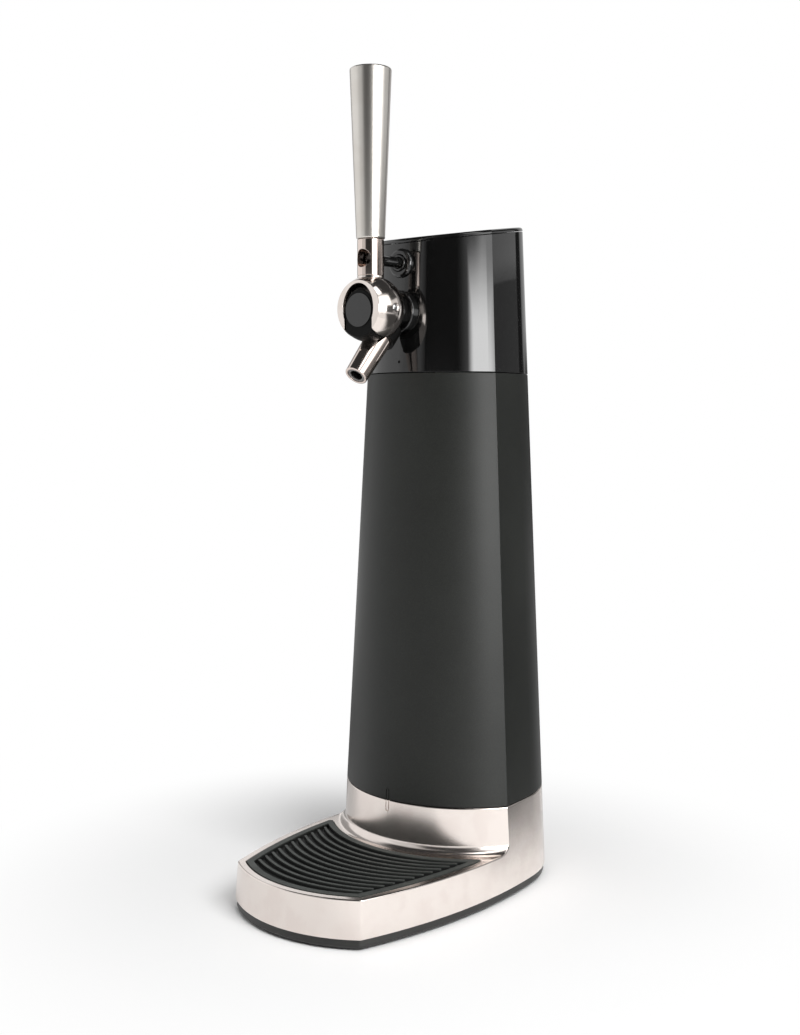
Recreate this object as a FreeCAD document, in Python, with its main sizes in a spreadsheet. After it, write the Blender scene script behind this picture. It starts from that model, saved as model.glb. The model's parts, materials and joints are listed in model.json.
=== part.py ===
import FreeCAD, Part
import math
import os

import Sketcher

# Home beer dispenser: a base with a drip tray, a tower that lifts off over the bottle,
# and a cap with a tap whose ball-shaped lever swings on two pins.
# Millimetres. +Z is up, -Y is the front, and the origin is on the table under the middle
# of the base.

SIZES = {
    # Plan of the body at the table and at the top of the tower
    "rear_radius_floor": 57.9,
    "rear_radius_neck": 43.3,
    "rear_centre_floor": 38.85,
    "rear_centre_neck": 47.3,
    "side_radius": 272.4,
    "side_turn": 8.2,
    "tower_front_radius_floor": 70.6,
    "tower_front_radius_neck": 50.6,
    "tower_front_reach_floor": 12.8,
    "tower_front_reach_neck": 1.15,
    "base_front_radius": 74.9,
    "base_front_reach": 97.05,
    "base_front_draft": 4.9,
    # Heights above the table
    "foot_height": 1.0,
    "skirt_top": 5.3,
    "ledge_height": 24.6,
    "tower_seam_height": 49.1,
    "cap_seam_height": 282.5,
    "tap_rise": 33.7,
    "lid_over_bezel": 5.7,
    "lid_slope": 8.9,
    # Walls and gaps
    "seam_gap": 0.3,
    "slip_gap": 0.2,
    "base_wall": 2.5,
    "tower_wall": 2.5,
    "cap_wall": 3.0,
    "riser_wall": 4.5,
    "riser_draft": 2.3,
    "riser_fillet": 5.0,
    "mark_width": 2.4,
    "mark_line": 0.5,
    "mark_reach": 6.0,
    "mark_depth": 0.5,
    # Black pan, feet and base screws
    "skirt_inset": 0.9,
    "skirt_round": 1.4,
    "base_corner": 4.0,
    "pan_floor": 2.6,
    "foot_radius": 6.0,
    "foot_spread_front": 30.0,
    "foot_front": 76.0,
    "foot_spread_rear": 38.0,
    "foot_rear": 62.0,
    "base_screw_radius": 1.5,
    "base_screw_head_radius": 2.8,
    "base_screw_head_height": 1.4,
    "base_screw_length": 11.6,
    "base_screw_tip_gap": 0.2,
    "base_screw_spread_front": 30.0,
    "base_screw_front": 62.0,
    "base_screw_spread_rear": 46.0,
    "base_screw_rear": 3.0,
    "base_boss_radius": 3.6,
    "screw_gap": 0.1,
    # Drip tray and drip mat
    "mat_inset": 4.5,
    "mat_rear_radius": 80.0,
    "mat_rear_reach": 17.6,
    "mat_height": 3.2,
    "mat_proud": 0.2,
    "mat_corner": 1.6,
    "tray_depth": 7.0,
    "tray_wall": 1.2,
    "tray_floor": 1.2,
    "mat_border": 3.6,
    "rib_count": 11,
    "rib_height": 1.9,
    "rib_width": 1.7,
    "rib_radius": 76.0,
    "rib_end_gap": 2.6,
    "rib_end_round": 0.9,
    "rib_end_drop": 12.0,
    # Bottle chamber
    "chamber_rear_gap": 2.1,
    "sleeve_bore_radius": 38.0,
    "sleeve_wall": 2.0,
    "sleeve_dip": 9.0,
    "cup_wall": 2.0,
    "cup_floor_height": 9.0,
    "cup_flange_radius": 46.4,
    "cup_flange_height": 1.2,
    "pad_radius": 37.0,
    "pad_height": 2.0,
    "seal_section": 1.5,
    "seal_groove": 1.25,
    "seal_lift": 4.0,
    "bulkhead_height": 4.0,
    "bulkhead_drop": 3.0,
    "dip_tube_radius": 3.0,
    "dip_tube_bore": 2.0,
    "dip_tube_gap": 10.5,
    # Tap body
    "tap_reach": 24.85,
    "core_radius": 13.6,
    "core_flat": 9.4,
    "core_belly_radius": 17.9,
    "core_belly_width": 16.8,
    "core_belly_top": 3.0,
    "neck_radius": 8.7,
    "core_disc_radius": 9.0,
    "core_disc_height": 0.6,
    "core_disc_drop": 1.0,
    "flange_radius": 11.8,
    "flange_height": 3.6,
    "flange_edge": 0.8,
    "spot_depth": 1.6,
    "shank_radius": 7.8,
    "shank_bore": 3.2,
    "shank_length": 18.0,
    "shank_way_length": 8.0,
    "tail_length": 8.0,
    "nut_width": 22.0,
    "nut_height": 5.0,
    "washer_radius": 11.0,
    "washer_height": 1.2,
    "boss_radius": 11.4,
    "boss_height": 2.2,
    "hole_start": 2.0,
    # Spout
    "spout_lean": 41.9,
    "spout_end_forward": 11.84,
    "spout_end_drop": 36.25,
    "spout_end_radius": 6.25,
    "spout_root_radius": 7.5,
    "spout_length": 34.0,
    "spout_bore": 4.9,
    "spout_bore_depth": 12.0,
    "spout_edge": 0.4,
    "spout_way_length": 12.0,
    "elbow_start": 27.5,
    "elbow_length": 10.0,
    "elbow_radius": 8.9,
    "liner_recess": 0.5,
    "liner_bore": 3.5,
    # Lever: ball, pins, collar and handle
    "ball_radius": 18.1,
    "ball_gap": 0.3,
    "ball_front": 10.3,
    "window_half_width": 10.8,
    "window_half_height": 13.4,
    "slot_half_width": 9.2,
    "slot_rear_top": 12.5,
    "slot_rear_start": 3.0,
    "ball_seat": 17.8,
    "seat_height": 2.8,
    "screw_seat": 16.4,
    "pin_radius": 1.85,
    "pin_length": 8.0,
    "pin_sink": 0.15,
    "pin_fit": 0.02,
    "pin_ring": 0.45,
    "pin_ring_depth": 0.6,
    "running_gap": 0.05,
    "collar_radius": 7.2,
    "collar_over_rod": 10.3,
    "collar_edge": 0.4,
    "rod_rise": 27.0,
    "collar_window_radius": 4.8,
    "collar_rear_wall": 3.0,
    "collar_rear_radius": 3.2,
    "collar_screw_radius": 2.4,
    "collar_screw_head": 4.0,
    "collar_screw_head_height": 2.2,
    "collar_screw_length": 5.0,
    "stud_radius": 4.76,
    "stud_in_collar": 4.6,
    "stud_in_handle": 13.0,
    "handle_length": 91.6,
    "handle_bottom_radius": 7.75,
    "handle_top_radius": 11.4,
    "handle_dome": 0.8,
    "handle_edge": 0.8,
    # Push rod and its bezel
    "rod_radius": 3.0,
    "rod_gap": 1.1,
    "rod_length": 44.0,
    "rod_screw_depth": 8.0,
    "rod_pin_radius": 1.7,
    "rod_pin_length": 5.2,
    "rod_head_radius": 3.4,
    "rod_head_height": 2.4,
    "bezel_radius": 8.1,
    "bezel_height": 2.6,
    "bezel_spot": 0.8,
    "bezel_neck_radius": 5.6,
    "bezel_neck_length": 5.0,
    "bush_radius": 4.5,
    "bush_proud": 0.7,
    "bush_gap": 0.3,
    "slider_width": 9.0,
    "slider_length": 6.0,
    "slider_height": 9.0,
    # Indicator light
    "light_rise": 6.1,
    "light_radius": 0.75,
    # Lid
    "lid_height": 2.2,
    "lid_edge": 0.7,
    "lid_rise": 30.0,
    "lid_tab_width": 9.0,
    "lid_tab_height": 4.0,
    "lid_tab_wall": 1.6,
    "lid_tab_side": 32.0,
    "lid_tab_front": 28.0,
    "lid_tab_rear": 50.0,
    # Works inside the cap
    "cell_radius": 7.15,
    "cell_length": 48.5,
    "cell_nub_radius": 2.7,
    "cell_nub_height": 1.4,
    "cell_pitch": 16.0,
    "cell_gap": 0.35,
    "cell_centre": 70.0,
    "battery_box_floor": 2.0,
    "battery_box_wall": 1.4,
    "cell_head_gap": 4.0,
    "battery_box_height": 42.0,
    "contact_height": 0.4,
    "contact_inset": 1.5,
    "pump_radius": 12.0,
    "pump_height": 16.0,
    "motor_radius": 11.0,
    "motor_height": 24.0,
    "motor_cap_radius": 4.0,
    "motor_cap_height": 1.5,
    "pump_side": 20.5,
    "pump_depth": 30.0,
    "hose_radius": 4.5,
    "hose_bore": 3.1,
    "hose_bend": 13.0,
    "foam_block_radius": 9.0,
    "foam_block_height": 7.0,
    "board_width": 1.6,
    "board_side": 28.0,
    "board_front": 18.0,
    "board_length": 32.0,
    "switch_width": 6.0,
    "switch_length": 12.0,
    "switch_height": 7.0,
    "switch_gap": 0.5,
    "switch_front": 9.0,
    "switch_rear": 32.0,
    "bracket_wall": 2.0,
}

doc = FreeCAD.newDocument("beer_dispenser")
dims = doc.addObject("Spreadsheet::Sheet", "dims")
for row, (alias, size) in enumerate(SIZES.items(), 1):
    dims.set(f"A{row}", alias)
    dims.set(f"B{row}", str(size))
    dims.setAlias(f"B{row}", alias)
doc.recompute()

nodes = []


# Expressions on the sheet

def number(expression):
    """The value that an expression has now, for the first place of a sketch's lines."""
    return float(dims.evalExpression(str(expression)))


def at_height(size, height):
    """A size of the plan that changes evenly from the table to the cap's seam."""
    return (
        f"(dims.{size}_floor + (dims.{size}_neck - dims.{size}_floor)"
        f" * ({height}) / dims.cap_seam_height)"
    )


def cap_face(height):
    """Y of the tower's or cap's foremost point at a height."""
    return f"(-{at_height('tower_front_reach', height)})"


TAP_Z = "(dims.cap_seam_height + dims.tap_rise)"
ROD_Z = f"({TAP_Z} + dims.rod_rise)"
LID_Z = f"({ROD_Z} + dims.bezel_radius + dims.lid_over_bezel)"
LIGHT_Z = "(dims.cap_seam_height + dims.light_rise)"
TAP_FACE = cap_face(TAP_Z)
TAP_Y = f"({TAP_FACE} - dims.tap_reach)"
ROD_FACE = cap_face(ROD_Z)
SEAM_FRONT_RADIUS = at_height("tower_front_radius", "dims.tower_seam_height")
SEAM_FRONT_CENTRE = (
    f"({SEAM_FRONT_RADIUS} - {at_height('tower_front_reach', 'dims.tower_seam_height')})"
)
TOWER_FOOT = "(dims.tower_seam_height + dims.seam_gap)"
CAP_FOOT = "(dims.cap_seam_height + dims.seam_gap)"
SLEEVE_RADIUS = "(dims.sleeve_bore_radius + dims.sleeve_wall)"
CHAMBER_Y = (
    "(dims.rear_centre_neck + dims.rear_radius_neck - dims.tower_wall"
    f" - dims.chamber_rear_gap - {SLEEVE_RADIUS})"
)
SEAL_CENTRE = f"({SLEEVE_RADIUS} - dims.seal_groove + dims.seal_section + dims.running_gap)"
CUP_BORE = f"({SEAL_CENTRE} + dims.seal_section + dims.slip_gap)"
CUP_RADIUS = f"({CUP_BORE} + dims.cup_wall)"
BULKHEAD_TOP = "(dims.cap_seam_height - dims.bulkhead_drop)"
BULKHEAD_FOOT = f"({BULKHEAD_TOP} - dims.bulkhead_height)"
TRAY_FOOT = "(dims.ledge_height - dims.tray_depth)"
MAT_TOP = "(dims.ledge_height + dims.mat_proud)"
MAT_FOOT = f"({MAT_TOP} - dims.mat_height)"
PAN_TOP = "(dims.foot_height + dims.pan_floor)"
COLLAR_TOP = "(dims.rod_rise + dims.collar_over_rod)"
BALL_BORE = "(dims.core_radius + dims.ball_gap)"
SEAL_Z = "(dims.tower_seam_height - dims.sleeve_dip + dims.seal_lift)"
LIGHT_FACE = cap_face(LIGHT_Z)
NUT_ANGLES = range(30, 390, 60)
TAIL_RADIUS = "(dims.hose_bore - dims.running_gap)"


def lid_plane(y, drop="0"):
    """Height of the lid's top plane at a Y, less a drop."""
    front = cap_face(LID_Z)
    return f"({LID_Z} + (({y}) - {front}) * tan(dims.lid_slope) - ({drop}))"


# Building blocks

def new_body(label):
    body = doc.addObject("PartDesign::Body", label)
    body.Label = label
    nodes.append(body)
    return body


def place(thing, x="0", y="0", z="0", turn=None):
    """Puts a sub-part at sheet values, turned once."""
    if turn is not None:
        thing.Placement.Rotation = turn
    for letter, value in zip("xyz", (x, y, z)):
        if value != "0":
            thing.setExpression(f"Placement.Base.{letter}", value)


def new_sketch(body, plane, lift="0"):
    """A sketch on one of the body's own planes, lifted along the plane's normal."""
    sketch = body.newObject("Sketcher::SketchObject", "sketch")
    support = [o for o in body.Origin.OriginFeatures if o.Role == plane][0]
    sketch.AttachmentSupport = [(support, "")]
    sketch.MapMode = "FlatFace"
    if lift != "0":
        sketch.setExpression("AttachmentOffset.Base.z", lift)
    return sketch


def bind(sketch, kind, *where, value):
    """A constraint whose size is an expression on the sheet."""
    index = sketch.addConstraint(Sketcher.Constraint(kind, *where, number(value)))
    sketch.setExpression(f"Constraints[{index}]", str(value))


def fix_point(sketch, element, point, x, y):
    if x == "0":
        sketch.addConstraint(Sketcher.Constraint("PointOnObject", element, point, -2))
    else:
        bind(sketch, "DistanceX", -1, 1, element, point, value=x)
    if y == "0":
        sketch.addConstraint(Sketcher.Constraint("PointOnObject", element, point, -1))
    else:
        bind(sketch, "DistanceY", -1, 1, element, point, value=y)


def add_circle(sketch, x, y, radius):
    centre = FreeCAD.Vector(number(x), number(y), 0)
    circle = sketch.addGeometry(Part.Circle(centre, FreeCAD.Vector(0, 0, 1), number(radius)))
    fix_point(sketch, circle, 3, x, y)
    bind(sketch, "Radius", circle, value=radius)


def arc_between(centre, radius, start, end):
    """An anticlockwise arc about a centre from one point to another."""
    first = math.atan2(start[1] - centre[1], start[0] - centre[0])
    last = math.atan2(end[1] - centre[1], end[0] - centre[0])
    if last < first:
        last += 2 * math.pi
    circle = Part.Circle(FreeCAD.Vector(*centre, 0), FreeCAD.Vector(0, 0, 1), radius)
    return Part.ArcOfCircle(circle, first, last)


def add_profile(sketch, corners):
    """A closed outline. Each corner is (x, y) or (x, y, radius, side): the edge that leaves
    it is then an arc whose centre lies to the left (1) or right (-1) of its way."""
    points = [(number(c[0]), number(c[1])) for c in corners]
    edges = []
    for i, corner in enumerate(corners):
        start, end = points[i], points[(i + 1) % len(points)]
        if len(corner) == 2:
            line = Part.LineSegment(FreeCAD.Vector(*start, 0), FreeCAD.Vector(*end, 0))
            edges.append((sketch.addGeometry(line), 1, 2))
            continue
        radius, side = number(corner[2]), corner[3]
        half = math.dist(start, end) / 2
        reach = math.sqrt(max(radius**2 - half**2, 0)) * side
        along = ((end[0] - start[0]) / 2 / half, (end[1] - start[1]) / 2 / half)
        middle = ((start[0] + end[0]) / 2, (start[1] + end[1]) / 2)
        centre = (middle[0] - along[1] * reach, middle[1] + along[0] * reach)
        if side > 0:
            arc = sketch.addGeometry(arc_between(centre, radius, start, end))
            edges.append((arc, 1, 2))
        else:
            arc = sketch.addGeometry(arc_between(centre, radius, end, start))
            edges.append((arc, 2, 1))
    for i, (edge, first, last) in enumerate(edges):
        follower, begin, _ = edges[(i + 1) % len(edges)]
        sketch.addConstraint(Sketcher.Constraint("Coincident", edge, last, follower, begin))
    for i, (edge, first, last) in enumerate(edges):
        fix_point(sketch, edge, first, corners[i][0], corners[i][1])
        if len(corners[i]) > 2:
            bind(sketch, "Radius", edge, value=corners[i][2])


def add_box(sketch, x_low, x_high, y_low, y_high):
    add_profile(sketch, [(x_low, y_low), (x_high, y_low), (x_high, y_high), (x_low, y_high)])


def pad(body, sketch, length, down=False):
    feature = body.newObject("PartDesign::Pad", "pad")
    feature.Profile = sketch
    feature.setExpression("Length", length)
    feature.Reversed = down
    return feature


def pocket(body, sketch, length, along=False):
    """Cuts against the sketch's normal, or along it."""
    feature = body.newObject("PartDesign::Pocket", "pocket")
    feature.Profile = sketch
    feature.setExpression("Length", length)
    feature.Reversed = along
    return feature


def loft(body, sketches, cut=False):
    kind = "PartDesign::SubtractiveLoft" if cut else "PartDesign::AdditiveLoft"
    feature = body.newObject(kind, "loft")
    feature.Profile = sketches[0]
    feature.Sections = sketches[1:]
    feature.Ruled = True
    return feature


def turn(body, sketch, cut=False):
    kind = "PartDesign::Groove" if cut else "PartDesign::Revolution"
    feature = body.newObject(kind, "turn")
    feature.Profile = sketch
    feature.ReferenceAxis = (sketch, ["V_Axis"])
    feature.Angle = 360
    return feature


def turned(label, corners):
    """A turned piece: its outline (radius, height) spun about the body's Z axis."""
    body = new_body(label)
    sketch = new_sketch(body, "XZ_Plane")
    add_profile(sketch, corners)
    turn(body, sketch)
    return body


def tube(outer, inner, low, high):
    return [(inner, low), (outer, low), (outer, high), (inner, high)]


def rod(radius, low, high):
    return [("0", low), (radius, low), (radius, high), ("0", high)]


def round_edges(body, pick, radius, kind="PartDesign::Fillet"):
    """Rounds or chamfers the edges of the body that pick chooses."""
    doc.recompute()
    base = body.Tip
    names = [f"Edge{i}" for i, edge in enumerate(base.Shape.Edges, 1) if pick(edge)]
    feature = body.newObject(kind, "edges")
    feature.Base = (base, names)
    feature.setExpression("Size" if kind.endswith("Chamfer") else "Radius", radius)
    return feature


def ends(edge):
    return [vertex.Point for vertex in edge.Vertexes]


def is_upright(edge):
    points = ends(edge)
    if len(points) < 2:
        return False
    run = points[1] - points[0]
    return abs(run.z) > 0.5 and math.hypot(run.x, run.y) < 0.2 * abs(run.z)


# The plan of the body: a front arc, two long side arcs and a rear arc

def circles_meet(centre_a, radius_a, centre_b, radius_b):
    """The crossing of two circles that lies nearer the front."""
    gap = math.dist(centre_a, centre_b)
    along = (gap**2 + radius_a**2 - radius_b**2) / (2 * gap)
    across = math.sqrt(radius_a**2 - along**2)
    ux, uy = (centre_b[0] - centre_a[0]) / gap, (centre_b[1] - centre_a[1]) / gap
    spots = [
        (centre_a[0] + along * ux - s * across * uy, centre_a[1] + along * uy + s * across * ux)
        for s in (1, -1)
    ]
    return min(spots, key=lambda spot: spot[1])


def side_arc(height, inset):
    """Centre (as the distance beyond the middle, and Y) and radius of the side arcs."""
    spread = f"(dims.side_radius - {at_height('rear_radius', height)})"
    x = f"({spread} * cos(dims.side_turn))"
    y = f"({at_height('rear_centre', height)} - {spread} * sin(dims.side_turn))"
    return x, y, f"(dims.side_radius - ({inset}))"


def front_arc(height, inset, front):
    """Y of the centre, and radius, of the tower's or the base's front arc."""
    if front == "tower":
        radius = at_height("tower_front_radius", height)
        return (
            f"({radius} - {at_height('tower_front_reach', height)})",
            f"({radius} - ({inset}))",
        )
    centre = (
        "(dims.base_front_radius - dims.base_front_reach"
        f" + ({height}) * tan(dims.base_front_draft))"
    )
    return centre, f"(dims.base_front_radius - ({inset}))"


def outline(body, height, inset="0", front="tower"):
    """The body's outline at a height, drawn in from its skin by an inset. The base has
    rounded front corners, the tower crisp ones."""
    sketch = new_sketch(body, "XY_Plane", height)
    side_x, side_y, side_r = side_arc(height, inset)
    front_y, front_r = front_arc(height, inset, front)
    rear_y = at_height("rear_centre", height)
    rear_r = f"({at_height('rear_radius', height)} - ({inset}))"
    sx, sy, sr = number(side_x), number(side_y), number(side_r)
    fy, fr, ry, rr = number(front_y), number(front_r), number(rear_y), number(rear_r)
    turn_angle = math.radians(number("dims.side_turn"))
    join = (rr * math.cos(turn_angle), ry + rr * math.sin(turn_angle))
    round_r = number(f"dims.base_corner - ({inset})") if front == "base" else 0
    middle = circles_meet((0, fy), fr - round_r, (-sx, sy), sr - round_r)
    side_end, front_end = (
        (
            x + (middle[0] - x) * radius / (radius - round_r),
            y + (middle[1] - y) * radius / (radius - round_r),
        )
        for x, y, radius in ((-sx, sy, sr), (0, fy, fr))
    )

    def mirrored(spot):
        return -spot[0], spot[1]

    right = sketch.addGeometry(arc_between((-sx, sy), sr, side_end, join))
    rear = sketch.addGeometry(arc_between((0, ry), rr, join, mirrored(join)))
    left = sketch.addGeometry(arc_between((sx, sy), sr, mirrored(join), mirrored(side_end)))
    face = sketch.addGeometry(arc_between((0, fy), fr, mirrored(front_end), front_end))
    for arc, y, radius in ((rear, rear_y, rear_r), (face, front_y, front_r)):
        fix_point(sketch, arc, 3, "0", y)
        bind(sketch, "Radius", arc, value=radius)
    for arc in (left, right):
        bind(sketch, "DistanceY", -1, 1, arc, 3, value=side_y)
        bind(sketch, "Radius", arc, value=side_r)
    sketch.addConstraint(Sketcher.Constraint("Tangent", right, 2, rear, 1))
    sketch.addConstraint(Sketcher.Constraint("Tangent", rear, 2, left, 1))
    if round_r == 0:
        sketch.addConstraint(Sketcher.Constraint("Coincident", left, 2, face, 1))
        sketch.addConstraint(Sketcher.Constraint("Coincident", face, 2, right, 1))
        return sketch
    for arc_middle, start, end, before, after in (
        (mirrored(middle), mirrored(side_end), mirrored(front_end), left, face),
        (middle, front_end, side_end, face, right),
    ):
        corner = sketch.addGeometry(arc_between(arc_middle, round_r, start, end))
        sketch.addConstraint(Sketcher.Constraint("Tangent", before, 2, corner, 1))
        sketch.addConstraint(Sketcher.Constraint("Tangent", corner, 2, after, 1))
        bind(sketch, "Radius", corner, value=f"(dims.base_corner - ({inset}))")
    return sketch


def tray_outline(body, height, inset):
    """The drip tray's outline: the base's front and sides, and a rear arc before the tower."""
    sketch = new_sketch(body, "XY_Plane", height)
    level = "dims.ledge_height"
    side_x, side_y, side_r = side_arc(level, inset)
    front_y, front_r = front_arc(level, inset, "base")
    rear_r = f"(dims.mat_rear_radius + ({inset}) - dims.mat_inset)"
    rear_y = "(dims.mat_rear_radius - dims.mat_rear_reach)"
    sx, sy, sr = number(side_x), number(side_y), number(side_r)
    fy, fr, ry, rr = number(front_y), number(front_r), number(rear_y), number(rear_r)
    front = circles_meet((0, fy), fr, (-sx, sy), sr)
    rear = circles_meet((0, ry), rr, (-sx, sy), sr)
    left_front, left_rear = (-front[0], front[1]), (-rear[0], rear[1])
    right = sketch.addGeometry(arc_between((-sx, sy), sr, front, rear))
    back = sketch.addGeometry(arc_between((0, ry), rr, left_rear, rear))
    left = sketch.addGeometry(arc_between((sx, sy), sr, left_rear, left_front))
    face = sketch.addGeometry(arc_between((0, fy), fr, left_front, front))
    fix_point(sketch, back, 3, "0", rear_y)
    fix_point(sketch, face, 3, "0", front_y)
    fix_point(sketch, right, 3, f"(-{side_x})", side_y)
    fix_point(sketch, left, 3, side_x, side_y)
    for arc, radius in ((back, rear_r), (face, front_r), (right, side_r), (left, side_r)):
        bind(sketch, "Radius", arc, value=radius)
    for a, a_end, b, b_end in (
        (face, 2, right, 1), (right, 2, back, 2), (back, 1, left, 1), (left, 2, face, 1)
    ):
        sketch.addConstraint(Sketcher.Constraint("Coincident", a, a_end, b, b_end))
    return sketch


# Base: satin shell, black pan, feet and screws

SCREW_SPOTS = [
    (f"({sign}dims.base_screw_spread_{end})", f"({way}dims.base_screw_{end})")
    for end, way in (("front", "-"), ("rear", ""))
    for sign in ("", "-")
]
FOOT_SPOTS = [
    (f"({sign}dims.foot_spread_{end})", f"({way}dims.foot_{end})")
    for end, way in (("front", "-"), ("rear", ""))
    for sign in ("", "-")
]
SCREW_HOLE = "(dims.base_screw_radius + dims.screw_gap)"
SCREW_HEAD_FOOT = "(dims.foot_height + dims.screw_gap)"
SCREW_HEAD_TOP = f"({SCREW_HEAD_FOOT} + dims.base_screw_head_height)"
BASE_CEILING = f"({TRAY_FOOT} - dims.base_wall)"


def add_mark(sketch, seam, way):
    """Half of the long engraved loop that lines the tower up with the base."""
    reach = f"({seam} + {way} * dims.mark_reach)"
    end = f"({seam} - {way} * dims.mark_line)"
    outer, inner = "dims.mark_width / 2", "(dims.mark_width / 2 - dims.mark_line)"
    turn_in = f"({reach} - {way} * {outer})"
    tip, inner_tip = reach, f"({reach} - {way} * dims.mark_line)"
    add_profile(sketch, [
        (f"(-{outer})", end), (f"(-{outer})", turn_in, outer, -way),
        ("0", tip, outer, -way), (outer, turn_in), (outer, end), (inner, end),
        (inner, turn_in, inner, way), ("0", inner_tip, inner, way),
        (f"(-{inner})", turn_in), (f"(-{inner})", end),
    ])


def engrave(body, height, seam, way):
    """Cuts the mark into the front of a shell whose foremost point is known at a height."""
    sketch = new_sketch(body, "XZ_Plane", f"(-{cap_face(height)} + dims.mark_width)")
    add_mark(sketch, seam, way)
    pocket(body, sketch, "dims.mark_width + dims.mark_depth")


def make_base_shell():
    body = new_body("base_shell")
    foot = outline(body, "dims.skirt_top", front="base")
    head = outline(body, "dims.tower_seam_height", front="base")
    loft(body, [foot, head])

    # The hollow riser front and the open space over the drip tray, spun about the
    # upright line through the centre of the tower's front arc
    space = new_sketch(body, "YZ_Plane")
    space.setExpression("AttachmentOffset.Base.x", SEAM_FRONT_CENTRE)
    fillet_z = "(dims.ledge_height + dims.riser_fillet)"
    fillet_r = (
        f"({SEAM_FRONT_RADIUS} + (dims.tower_seam_height - {fillet_z}) * tan(dims.riser_draft)"
        " + dims.riser_fillet / cos(dims.riser_draft))"
    )
    above = "(dims.tower_seam_height + dims.base_wall)"
    beyond = "(2 * dims.base_front_reach)"
    add_profile(space, [
        (f"({SEAM_FRONT_RADIUS} - dims.base_wall * tan(dims.riser_draft))", above),
        (
            f"({fillet_r} - dims.riser_fillet * cos(dims.riser_draft))",
            f"({fillet_z} - dims.riser_fillet * sin(dims.riser_draft))",
            "dims.riser_fillet", 1,
        ),
        (fillet_r, "dims.ledge_height"),
        (beyond, "dims.ledge_height"),
        (beyond, above),
    ])
    turn(body, space, cut=True)

    recess = tray_outline(body, "dims.ledge_height", "(dims.mat_inset - dims.slip_gap)")
    pocket(body, recess, "dims.tray_depth")
    low, high = number(TRAY_FOOT), number("dims.ledge_height")

    def in_recess(edge):
        return is_upright(edge) and all(low - 0.1 < p.z < high + 0.1 for p in ends(edge))

    round_edges(body, in_recess, "dims.mat_corner + dims.slip_gap")
    hollow = [
        outline(body, height, "dims.base_wall", "base")
        for height in ("dims.skirt_top", BASE_CEILING)
    ]
    loft(body, hollow, cut=True)
    riser_hollow = [
        outline(body, height, "dims.riser_wall")
        for height in (
            f"({BASE_CEILING} - dims.base_wall)", "(dims.tower_seam_height - dims.base_wall)"
        )
    ]
    loft(body, riser_hollow, cut=True)

    mouth = new_sketch(body, "XY_Plane", "dims.tower_seam_height")
    add_circle(mouth, "0", CHAMBER_Y, f"({CUP_RADIUS} + dims.slip_gap)")
    pocket(body, mouth, "2 * dims.base_wall")

    bosses = new_sketch(body, "XY_Plane", PAN_TOP)
    for x, y in SCREW_SPOTS:
        add_circle(bosses, x, y, "dims.base_boss_radius")
    pad(body, bosses, f"{BASE_CEILING} - {PAN_TOP} + dims.base_wall / 2")
    holes = new_sketch(body, "XY_Plane", PAN_TOP)
    for x, y in SCREW_SPOTS:
        add_circle(holes, x, y, SCREW_HOLE)
    screw_top = f"{SCREW_HEAD_TOP} + dims.base_screw_length"
    pocket(body, holes, f"{screw_top} + dims.base_screw_tip_gap - {PAN_TOP}", along=True)
    engrave(body, "dims.tower_seam_height", "dims.tower_seam_height", -1)


def make_base_pan():
    body = new_body("base_pan")
    layers = [
        outline(
            body, f"(dims.foot_height + dims.skirt_round * (1 - cos({turn})))",
            f"(dims.skirt_inset + dims.skirt_round * (1 - sin({turn})))", "base",
        )
        for turn in range(0, 91, 30)
    ]
    loft(body, layers + [outline(body, "dims.skirt_top", "dims.skirt_inset", "base")])
    hollow = [
        outline(body, height, "dims.base_wall", "base") for height in (PAN_TOP, "dims.skirt_top")
    ]
    loft(body, hollow, cut=True)
    for radius, depth in (
        ("(dims.base_screw_head_radius + dims.screw_gap)", f"{SCREW_HEAD_TOP} - dims.foot_height"),
        (SCREW_HOLE, "dims.pan_floor"),
    ):
        sketch = new_sketch(body, "XY_Plane", "dims.foot_height")
        for x, y in SCREW_SPOTS:
            add_circle(sketch, x, y, radius)
        pocket(body, sketch, depth, along=True)


def make_rubber_feet():
    body = new_body("rubber_feet")
    sketch = new_sketch(body, "XY_Plane")
    for x, y in FOOT_SPOTS:
        add_circle(sketch, x, y, "dims.foot_radius")
    pad(body, sketch, "dims.foot_height")


def make_base_screws():
    body = new_body("base_screws")
    heads = new_sketch(body, "XY_Plane", SCREW_HEAD_FOOT)
    for x, y in SCREW_SPOTS:
        add_circle(heads, x, y, "dims.base_screw_head_radius")
    pad(body, heads, "dims.base_screw_head_height")
    shanks = new_sketch(body, "XY_Plane", SCREW_HEAD_TOP)
    for x, y in SCREW_SPOTS:
        add_circle(shanks, x, y, "dims.base_screw_radius")
    pad(body, shanks, "dims.base_screw_length")


# Drip tray and the ribbed mat on it

def make_drip_tray():
    body = new_body("drip_tray")
    pad(body, tray_outline(body, TRAY_FOOT, "dims.mat_inset"), f"{MAT_FOOT} - {TRAY_FOOT}")
    round_edges(body, is_upright, "dims.mat_corner")
    well = tray_outline(body, MAT_FOOT, "(dims.mat_inset + dims.tray_wall)")
    pocket(body, well, f"{MAT_FOOT} - {TRAY_FOOT} - dims.tray_floor")


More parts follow.
